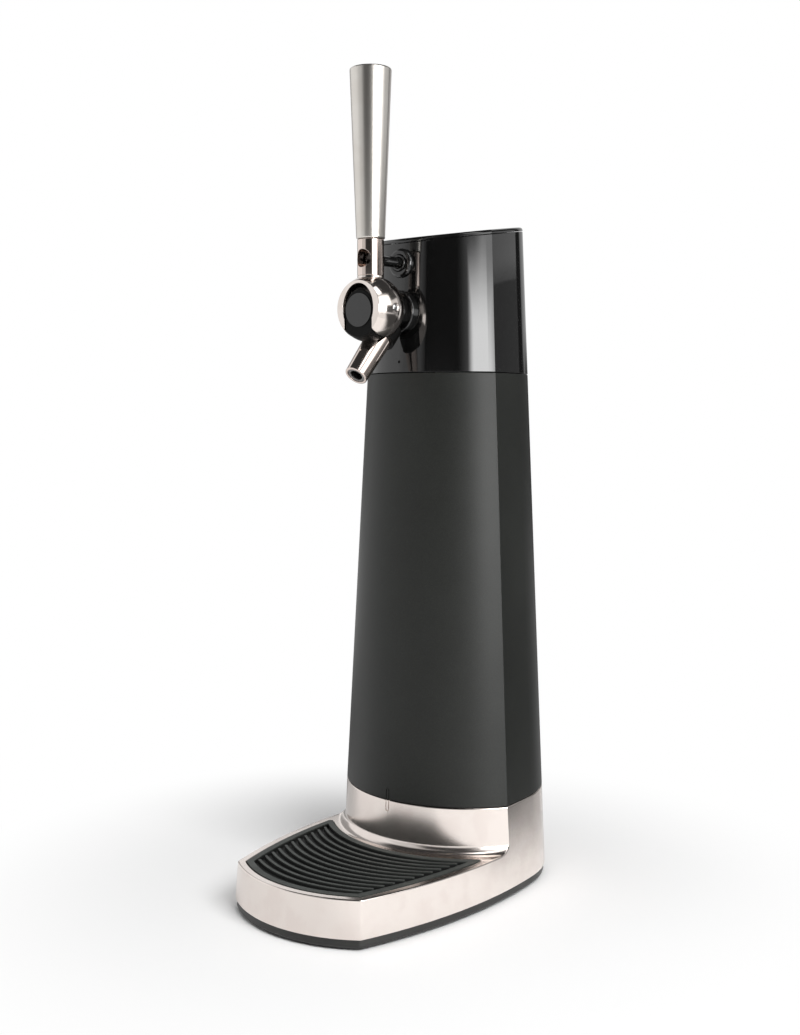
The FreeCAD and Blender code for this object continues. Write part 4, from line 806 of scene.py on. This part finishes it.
def slope_block(drop, side):
    """A block on one side (1 above, -1 below) of the lid's plane, lowered by a drop."""
    size = 0.4
    bpy.ops.object.select_all(action="DESELECT")
    middle = LID_POINT + LID_NORMAL * (side * size / 2 - drop)
    bpy.ops.mesh.primitive_cube_add(size=size, location=middle, rotation=(LID_SLOPE, 0, 0))
    return bpy.context.object


def bore(node, radius, depth, gap=0.2 * MM):
    """A bar that clears a round node on the cap's front, from in front to a depth."""
    low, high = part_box(node)
    middle = (low + high) / 2
    front = -at_height(FRONT_REACH, middle.z)
    return round_cutter(
        radius + gap, (middle.x, front - 20 * MM, middle.z), (middle.x, front + depth, middle.z)
    )


def make_cap():
    low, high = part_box("cap_shell")
    piece = walled_block("cap_skin", low.z, high.z + BLOCK_OVER)
    cut(piece, slope_block(LID_WALL + SEAM_GAP, 1))
    soften(piece, CAP_ROUND)
    cut(
        piece,
        walled_block("cap_space", low.z - MM, high.z + SPACE_OVER, CAP_WALL),
        bore("tap_flange", FLANGE_RADIUS, FLANGE_SEAT), bore("tap_flange", SHANK_RADIUS, THROUGH),
        bore("rod_bezel", BEZEL_RADIUS, BEZEL_SEAT), bore("rod_bezel", BEZEL_NECK, THROUGH),
        bore("indicator_light", LIGHT_RADIUS, THROUGH, LIGHT_GAP),
    )
    smooth(piece)
    finish_piece(piece, finishes["cap_black"], "tower", "cap_black", "cap_shell")


def make_lid():
    low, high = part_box("cap_lid")
    corner = LID_ROUND + 0.2 * MM
    piece = walled_block("lid_skin", low.z - BLOCK_OVER, high.z + BLOCK_OVER, corner=corner)
    cut(piece, slope_block(0, 1), slope_block(LID_WALL, -1))
    mode("EDIT")
    pick("edges", lambda e, m: all(abs((v.co - LID_POINT).dot(LID_NORMAL)) < 0.02 * MM for v in e.verts))
    bpy.ops.mesh.bevel(offset=LID_ROUND, segments=6, clamp_overlap=False)
    for side in (-1, 1):
        for y in TAB_PLACES:
            under = LID_POINT.z + (y - LID_POINT.y) * math.tan(LID_SLOPE) - LID_WALL
            bpy.ops.mesh.primitive_cube_add(
                size=1, location=(side * TAB_X, y, under - TAB_SIZE[2] / 2), scale=TAB_SIZE
            )
    mode("OBJECT")
    smooth(piece)
    finish_piece(piece, finishes["cap_black"], "lid", "cap_black", "cap_lid")


make_cap()
make_lid()

# %% [markdown]
# The base is a satin shell with a step: the front is low and holds the mat, and the rear rises
# to carry the tower. It starts as a full-height block between two outlines. A spun cutter then
# clears the space over the mat, and the cutter's own round leaves the soft fillet at the foot
# of the riser.

# %% Base shell
LEDGE = 24.6 * MM
RISER_FILLET = 5.0 * MM
RISER_DRAFT = math.radians(2.3)
BASE_CORNER = 4.0 * MM
BASE_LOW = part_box("base_pan")[1].z
BASE_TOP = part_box("base_shell")[1].z
MAT_INSET = 4.5 * MM
MAT_REAR_RADIUS = 80.0 * MM
MAT_REAR_REACH = 17.6 * MM
TRAY_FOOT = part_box("drip_tray")[0].z
SLIP = 0.2 * MM
RECESS_CORNER = 1.8 * MM
CUTTER_OVER = 5 * MM
RECESS_TOP = LEDGE + CUTTER_OVER
MOUTH_RADIUS = 44.4 * MM
MOUTH_FLOOR = 7 * MM
BASE_ROUND = 0.7 * MM


def space_cutter():
    """The space over the mat, spun about the centre of the tower's front arc."""
    radius = at_height(FRONT_RADIUS, BASE_TOP)
    fillet_z = LEDGE + RISER_FILLET
    fillet_r = radius + (BASE_TOP - fillet_z) * math.tan(RISER_DRAFT)
    fillet_r += RISER_FILLET / math.cos(RISER_DRAFT)
    over, beyond = 2.5 * MM, 0.2
    top = BASE_TOP + over
    first = radius - over * math.tan(RISER_DRAFT)
    turn_x = fillet_r - RISER_FILLET * math.cos(RISER_DRAFT)
    turn_z = fillet_z - RISER_FILLET * math.sin(RISER_DRAFT)
    piece = start("space_cutter")
    dot((first, 0, top))
    line_to((turn_x - first, 0, turn_z - top))
    sweep((fillet_r, 0, fillet_z), math.pi / 2 - RISER_DRAFT, 10, UP_AND_OVER)
    line_to((beyond - fillet_r, 0, 0))
    line_to((0, 0, top - LEDGE))
    line_to((first - beyond, 0, 0))
    weld()
    bpy.ops.mesh.select_all(action="SELECT")
    sweep((0, 0, 0), 2 * math.pi, 180)
    weld()
    face_out()
    mode("OBJECT")
    settle(piece, (0, radius - at_height(FRONT_REACH, BASE_TOP), 0))
    return piece


def tray_ring(z, inset, corner):
    """The outline of the mat and its recess: the base's front and sides, and a rear arc that
    follows the tower."""
    front_y, front_r = front_circle(LEDGE, inset, True)
    side_x, side_y, side_r = side_circle(LEDGE, inset)
    rear_y = MAT_REAR_RADIUS - MAT_REAR_REACH
    rear_r = MAT_REAR_RADIUS + inset - MAT_INSET
    side_middle = Vector((-side_x, side_y))
    front_spot = circles_meet(Vector((0, front_y)), front_r - corner, side_middle, side_r - corner)
    rear_spot = circles_meet(Vector((0, rear_y)), rear_r + corner, side_middle, side_r - corner)
    front_end = math.atan2(front_spot.y - front_y, front_spot.x)
    side_start = math.atan2(front_spot.y - side_y, front_spot.x + side_x)
    side_end = math.atan2(rear_spot.y - side_y, rear_spot.x + side_x)
    rear_end = math.atan2(rear_spot.y - rear_y, rear_spot.x)
    dot((-front_r * math.cos(front_end), front_y + front_r * math.sin(front_end), z))
    sweep((0, front_y, z), math.pi + 2 * front_end, STEPS["front"])
    sweep((*front_spot, z), side_start - front_end, STEPS["corner"])
    sweep((-side_x, side_y, z), side_end - side_start, 12)
    sweep((*rear_spot, z), math.pi + rear_end - side_end, STEPS["corner"])
    sweep((0, rear_y, z), -math.pi - 2 * rear_end, STEPS["front"])
    sweep((-rear_spot.x, rear_spot.y, z), math.pi + rear_end - side_end, STEPS["corner"])
    sweep((side_x, side_y, z), side_end - side_start, 12)
    sweep((-front_spot.x, front_spot.y, z), side_start - front_end, STEPS["corner"])
    weld()


def recess_cutter():
    piece = start("recess_cutter")
    tray_ring(TRAY_FOOT, MAT_INSET - SLIP, RECESS_CORNER)
    bpy.ops.mesh.select_all(action="SELECT")
    line_to((0, 0, RECESS_TOP - TRAY_FOOT))
    for z in (TRAY_FOOT, RECESS_TOP):
        close_ring(z)
    face_out()
    mode("OBJECT")
    return piece


def make_base():
    piece = walled_block("base_skin", BASE_LOW, BASE_TOP, base=True, corner=BASE_CORNER)
    low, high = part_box("chamber_sleeve")
    middle = (low + high) / 2
    mouth = round_cutter(
        MOUTH_RADIUS, (0, middle.y, MOUTH_FLOOR), (0, middle.y, BASE_TOP + CUTTER_OVER), 128
    )
    cut(piece, space_cutter(), recess_cutter(), mouth)
    soften(piece, BASE_ROUND, 4)
    cut(piece, mark_cutter(BASE_TOP, -1, -at_height(FRONT_REACH, BASE_TOP)))
    smooth(piece, 25)
    finish_piece(piece, finishes["base_nickel"], "base", "base_nickel", "base_shell")


make_base()

# %% [markdown]
# The round pieces of the tap are all turned parts, so they share one helper: a profile is drawn
# in short lines, its corners are rounded with a vertex bevel, and the line is spun once round.
# The handle is a slim cone with a soft rim and a nearly flat, slightly domed top.

# %% Handle and collar
LEVER_ROUND = {"foot": 0.8 * MM, "rim": 1.0 * MM, "collar": 0.4 * MM, "holes": 0.3 * MM}
HANDLE_RADII = (7.75 * MM, 11.4 * MM)
HANDLE_DOME = 0.8 * MM
STUD_BORE = 4.81 * MM
STUD_DEPTH = 13.1 * MM
STUD_SEAT = 3 * MM
COLLAR_RADIUS = 7.2 * MM
COLLAR_BORE = 1.6 * MM
ROD_RADIUS = 3.0 * MM
ROD_HOLE = 3.2 * MM
ROD_HEAD_HOLE = 4.8 * MM
ROD_HEAD_WALL = 3.0 * MM
ROD_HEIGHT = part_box("push_rod")[0].z + ROD_RADIUS


def make_handle():
    low, high = (corner.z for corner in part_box("handle"))
    shoulder = high - HANDLE_DOME
    bore_top = low + STUD_DEPTH
    top = dome(HANDLE_RADII[1] - LEVER_ROUND["rim"], high, HANDLE_DOME, 6)[1:]
    profile = [
        (0, bore_top), (STUD_BORE, bore_top), (STUD_BORE, low), (HANDLE_RADII[0], low),
        (HANDLE_RADII[1], shoulder), *top,
    ]
    rounds = [(4, LEVER_ROUND["rim"]), (3, LEVER_ROUND["foot"])]
    piece = turned("tap_handle", profile, rounds, steps=128, round_steps=6)
    settle(piece, (TAP.x, TAP.y, 0))
    smooth(piece)
    finish_piece(piece, finishes["handle_nickel"], "lever", "handle_nickel", "handle")


def make_collar():
    low, high = (corner.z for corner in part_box("collar"))
    profile = [
        (COLLAR_BORE, low), (COLLAR_RADIUS, low), (COLLAR_RADIUS, high), (STUD_BORE, high),
        (STUD_BORE, high - STUD_SEAT), (COLLAR_BORE, high - STUD_SEAT), (COLLAR_BORE, low),
    ]
    piece = turned("lever_collar", profile, [(2, LEVER_ROUND["collar"])], steps=96)
    settle(piece, (TAP.x, TAP.y, 0))
    front, rear = TAP.y - 20 * MM, TAP.y + 20 * MM
    rear_wall = TAP.y + COLLAR_RADIUS - ROD_HEAD_WALL
    cut(
        piece,
        round_cutter(ROD_HEAD_HOLE, (0, front, ROD_HEIGHT), (0, rear_wall, ROD_HEIGHT)),
        round_cutter(ROD_HOLE, (0, front, ROD_HEIGHT), (0, rear, ROD_HEIGHT)),
    )
    soften(piece, LEVER_ROUND["holes"], 3, 50)
    smooth(piece)
    finish_piece(piece, finishes["tap_nickel"], "lever", "tap_nickel", "collar")


make_handle()
make_collar()

# %% [markdown]
# The lever's ball is a hollow shell with a flat front. An upright oval window in that face shows
# the black core. A sphere with its poles front and back is bisected at the face and filled, and
# bars and blocks cut the window, the slots under and behind it and the holes of the two pins.
# The bevel of the face and the window is what makes the bright ring of the photograph.

# %% Ball of the lever
BALL_RADIUS = 18.1 * MM
BALL_FACE = 10.3 * MM
BALL_BORE = 13.9 * MM
WINDOW = (10.8 * MM, 13.4 * MM)
SLOT_HALF = 9.8 * MM
REAR_SLOT = (3.0 * MM, 12.5 * MM)
SEAT_FOOT = 15 * MM
SEAT_TOP = 17.8 * MM
SEAT_FILLET = 0.9 * MM
FACE_BEVEL = 0.6 * MM
BALL_ROUND = 0.25 * MM
CORE_FACE = 9.4 * MM
CORE_RADIUS = 13.6 * MM
BELLY_RADIUS = 17.9 * MM
PIN_RADIUS = 1.85 * MM
PIN_HOLE = 1.87 * MM
PIN_INSET = 0.15 * MM
PIN_LENGTH = 8 * MM
PIN_DOME = 0.45 * MM
DISH_RADIUS = 2.3 * MM
DISH_DEPTH = 0.6 * MM


def ball(name, radius):
    bpy.ops.object.select_all(action="DESELECT")
    bpy.ops.mesh.primitive_uv_sphere_add(
        segments=128, ring_count=64, radius=radius, location=TAP, rotation=(math.pi / 2, 0, 0)
    )
    piece = bpy.context.object
    piece.name = name
    bpy.ops.object.transform_apply(location=True, rotation=True, scale=True)
    return piece


def trim(piece, point, way):
    """Cuts the piece with a plane, drops what lies on the way's side and fills the cut."""
    bpy.context.view_layer.objects.active = piece
    mode("EDIT")
    bpy.ops.mesh.select_all(action="SELECT")
    bpy.ops.mesh.bisect(plane_co=point, plane_no=way, use_fill=True, clear_outer=True)
    mode("OBJECT")


def round_face(front, width):
    """Rounds the rims that lie in the flat front face."""
    mode("EDIT")
    pick("edges", lambda e, m: all(abs(v.co.y - front) < NEAR for v in e.verts)
         and len(e.link_faces) == 2 and e.calc_face_angle() > 0.4)
    bpy.ops.mesh.bevel(offset=width, segments=6, clamp_overlap=True)
    mode("OBJECT")


def make_ball():
    piece = ball("lever_ball", BALL_RADIUS)
    front = TAP.y - BALL_FACE
    trim(piece, (0, front, 0), (0, -1, 0))
    trim(piece, (0, 0, TAP.z + SEAT_TOP), (0, 0, 1))
    window = round_cutter(1.0, (TAP.x, TAP.y - 0.03, TAP.z), TAP, 128)
    window.scale = (WINDOW[0], WINDOW[1], 1)
    far = 30 * MM
    under = box_cutter(TAP - Vector((SLOT_HALF, far, far)), TAP + Vector((SLOT_HALF, far, 0)))
    rear = box_cutter(
        TAP + Vector((-SLOT_HALF, REAR_SLOT[0], -SLOT_HALF)), TAP + Vector((SLOT_HALF, far, REAR_SLOT[1]))
    )
    side = Vector((far, 0, 0))
    cut(piece, ball("ball_space", BALL_BORE), window, under, rear)
    cut(piece, round_cutter(PIN_HOLE, TAP - side, TAP + side, 48))
    round_face(front, FACE_BEVEL)
    for way in (-1, 1):
        surface = TAP + Vector((way * (BALL_RADIUS - DISH_DEPTH), 0, 0))
        cut(piece, round_cutter(DISH_RADIUS, surface, surface + side * way, 48))
    seat = round_cutter(
        COLLAR_RADIUS, TAP + Vector((0, 0, SEAT_FOOT)), TAP + Vector((0, 0, SEAT_TOP)), 96
    )
    join(piece, seat)
    mode("EDIT")
    pick("edges", lambda e, m: abs(math.dist(m.xy, TAP.xy) - COLLAR_RADIUS) < 0.1 * MM
         and m.z < TAP.z + SEAT_TOP - 0.3 * MM and len(e.link_faces) == 2 and e.calc_face_angle() > 0.6)
    bpy.ops.mesh.bevel(offset=SEAT_FILLET, segments=5, clamp_overlap=True)
    mode("OBJECT")
    soften(piece, BALL_ROUND, 3, 50)
    mode("EDIT")
    weld()
    bpy.ops.mesh.dissolve_degenerate(threshold=WELD)
    mode("OBJECT")
    smooth(piece, 35)
    finish_piece(piece, finishes["ball_nickel"], "lever", "tap_nickel", "ball_shell")


def make_pins():
    """The two ends of the pivot: a small pin with a domed face, copied to the other side."""
    reach = BALL_RADIUS - PIN_INSET
    foot = reach - PIN_LENGTH
    profile = [(0, foot), (PIN_RADIUS, foot), *dome(PIN_RADIUS, reach, PIN_DOME, 5)]
    right = turned("pivot_pin_right", profile, steps=48)
    left = right.copy()
    left.data = right.data.copy()
    left.name = "pivot_pin_left"
    bpy.context.scene.collection.objects.link(left)
    for pin, side in ((right, 1), (left, -1)):
        settle(pin, TAP, (0, side * math.pi / 2, 0))
        smooth(pin, 40)
        finish_piece(pin, finishes["screw_steel"], "lever", "tap_nickel", "pivot_pins")


make_ball()
make_pins()

# %% [markdown]
# The core inside the ball does not move. It is a ball with a flat front, and a belly that fills
# the slot under the window, so that no gap shows below. A neck joins it to the flange, and a
# short elbow takes the spout. It is glossy black, but its flat face round the cover disc and
# its belly are matt. One finish does both: the body is dull, and a clear coat that fades out
# at the face and towards the belly gives the gloss to the rest.

# %% Core of the tap
SPOUT_LEAN = math.radians(41.9)
SPOUT_END = Vector((0, -36.45, 279.95)) * MM
UP_SPOUT = Vector((0, math.sin(SPOUT_LEAN), math.cos(SPOUT_LEAN)))
CORE_ROUND = 0.4 * MM
BELLY_GAP = 0.3 * MM
BELLY_REAR = 0.6 * MM
BELLY_TOP = 2 * MM
NECK_RADIUS = 8.7 * MM
ELBOW_RADIUS = 8.9 * MM
ELBOW = (27.5 * MM, 37.5 * MM)


def core_black():
    finish = Finish("core_black")
    depth, height = (
        finish.add("ShaderNodeSeparateXYZ", sockets={"Vector": finish.place()}, output=axis)
        for axis in "YZ"
    )
    behind_face = depth.between(TAP.y - CORE_FACE + 0.1 * MM, TAP.y - CORE_FACE + 0.8 * MM)
    over_belly = height.between(TAP.z - 10 * MM, TAP.z - 4 * MM)
    grain = finish.noise(0.4 * MM, 3.0)
    return finish.principled(
        Base_Color=finish.mix(grain, colour(9, 9, 9), colour(16, 16, 15)),
        Roughness=grain * 0.1 + 0.4,
        IOR=1.2,
        Coat_Weight=behind_face * over_belly,
        Coat_IOR=1.6,
        Coat_Roughness=0.05,
        Normal=finish.bump(grain, 0.002 * MM),
    )


def make_core():
    piece = ball("tap_core_ball", CORE_RADIUS)
    belly = ball("core_belly", BELLY_RADIUS)
    half = Vector((SLOT_HALF - BELLY_GAP, 0, 0))
    trim(belly, TAP + half, (1, 0, 0))
    trim(belly, TAP - half, (-1, 0, 0))
    trim(belly, TAP - Vector((0, BELLY_REAR, 0)), (0, 1, 0))
    trim(belly, TAP - Vector((0, 0, BELLY_TOP)), (0, 0, 1))
    join(piece, belly)
    trim(piece, TAP - Vector((0, CORE_FACE, 0)), (0, -1, 0))
    soften(piece, CORE_ROUND, 3, 40)
    smooth(piece, 35)
    finish_piece(piece, finishes["core_black"], "tower", "tap_black", "tap_core")


def make_neck():
    """The bars that join the core to the flange and hold the spout."""
    piece = round_cutter(NECK_RADIUS, TAP, (TAP.x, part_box("tap_flange")[0].y, TAP.z), 96)
    piece.name = "tap_neck"
    elbow = round_cutter(ELBOW_RADIUS, *(SPOUT_END + UP_SPOUT * reach for reach in ELBOW), 96)
    soften(elbow, CORE_ROUND)
    join(piece, elbow)
    settle(piece, piece.location.copy(), piece.rotation_euler.copy())
    smooth(piece)
    finish_piece(piece, finishes["core_black"], "tower", "tap_black", "tap_core")


finishes["core_black"] = core_black()
make_core()
make_neck()

# %% [markdown]
# The spout is a short cone that leans forward, with a rounded lip round its dark bore. The
# flange, the rod's bush and its bezel are turned rings, so they are turned about Z and then
# laid on their side, with their faces towards the front.

# %% Spout, flange and bezel
SPOUT_RADII = (6.25 * MM, 7.5 * MM)
SPOUT_LENGTH = 34.0 * MM
SPOUT_BORE = 4.9 * MM
SPOUT_BORE_DEPTH = 12 * MM
TO_FRONT = (math.pi / 2, 0, 0)


def make_spout():
    profile = [
        (0, SPOUT_BORE_DEPTH), (SPOUT_BORE, SPOUT_BORE_DEPTH), (SPOUT_BORE, 0), (SPOUT_RADII[0], 0),
        (SPOUT_RADII[1], SPOUT_LENGTH), (0, SPOUT_LENGTH),
    ]
    piece = turned("tap_spout", profile, [(3, 0.45 * MM), (2, 0.2 * MM)], steps=96, round_steps=5)
    settle(piece, SPOUT_END, (-SPOUT_LEAN, 0, 0))
    smooth(piece)
    finish_piece(piece, finishes["tap_nickel"], "tower", "tap_nickel", "spout")


def make_ring(name, node, hole, round_size, steps=96):
    """A flat black ring on the cap's front that takes a node's place, size and depth."""
    low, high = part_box(node)
    radius, depth = (high.x - low.x) / 2, high.y - low.y
    profile = [(hole, 0), (radius, 0), (radius, depth), (hole, depth), (hole, 0)]
    piece = turned(name, profile, [(3, round_size / 3), (2, round_size)], steps, 5)
    settle(piece, ((low.x + high.x) / 2, high.y, (low.z + high.z) / 2), TO_FRONT)
    smooth(piece)
    finish_piece(piece, finishes["tap_black"], "tower", "tap_black", node)


def make_bezel():
    """The round-shouldered ring that the push rod passes through, with its neck in the cap."""
    low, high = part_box("rod_bezel")
    hole, head = 4.55 * MM, (high.x - low.x) / 2
    shoulder, depth = 5.0 * MM, high.y - low.y
    profile = [
        (hole, 0), (BEZEL_NECK, 0), (BEZEL_NECK, shoulder), (head, shoulder), (head, depth),
        (hole, depth), (hole, 0),
    ]
    piece = turned("rod_bezel_ring", profile, [(5, 0.7 * MM), (4, 2.1 * MM)], 96, 8)
    settle(piece, (0, high.y, (low.z + high.z) / 2), TO_FRONT)
    smooth(piece)
    finish_piece(piece, finishes["tap_black"], "tower", "tap_black", "rod_bezel")


make_spout()
make_ring("flange_ring", "tap_flange", 7.9 * MM, 1.1 * MM, 128)
make_ring("rod_bush_ring", "rod_bush", 3.3 * MM, 0.6 * MM)
make_bezel()

# %% [markdown]
# A grey liner shows as a ring in the mouth of the spout, round a bore whose darkness is painted
# shade. Its finish measures how far a point lies up the spout, and paints shade that darkens it
# from the mouth inwards.

# %% Liner of the spout
LINER_MOUTH = 0.5 * MM
LINER_DARK = 1.3 * MM


def liner_grey():
    finish = Finish("liner_grey")
    along = finish.add(
        "ShaderNodeVectorMath", {"operation": "DOT_PRODUCT"}, {0: finish.place(), 1: UP_SPOUT},
        output="Value",
    )
    depth = along - SPOUT_END.dot(UP_SPOUT)
    specks = finish.noise(0.4 * MM, 3.0)
    return finish.principled(
        # Painted shade: the liner darkens with depth up the spout, standing in for shade inside the bore.
        Base_Color=finish.mix(
            depth.between(LINER_MOUTH, LINER_DARK),
            finish.mix(specks, colour(132, 130, 128), colour(112, 110, 108)),
            colour(18, 19, 18),
        ),
        Roughness=specks * 0.1 + 0.3,
        Normal=finish.bump(specks, 0.004 * MM),
    )


finishes["liner_grey"] = liner_grey()
print("liner dark from", round(LINER_DARK, 4), "up the spout")

# %% [markdown]
# The pieces that keep their CAD shape get the finish of their slot, but for two: the liner, and
# the shank, which is black like the flange round it.

# %% Finishes of the CAD pieces
SPECIAL = {"spout_liner": "liner_grey", "tap_shank": "tap_black"}
for name, node in frame["nodes"].items():
    slot = node.data.materials[0].name.split(".")[0]
    node.data.materials[0] = finishes[SPECIAL.get(name, slot)]
print(len(frame["nodes"]), "CAD pieces dressed")
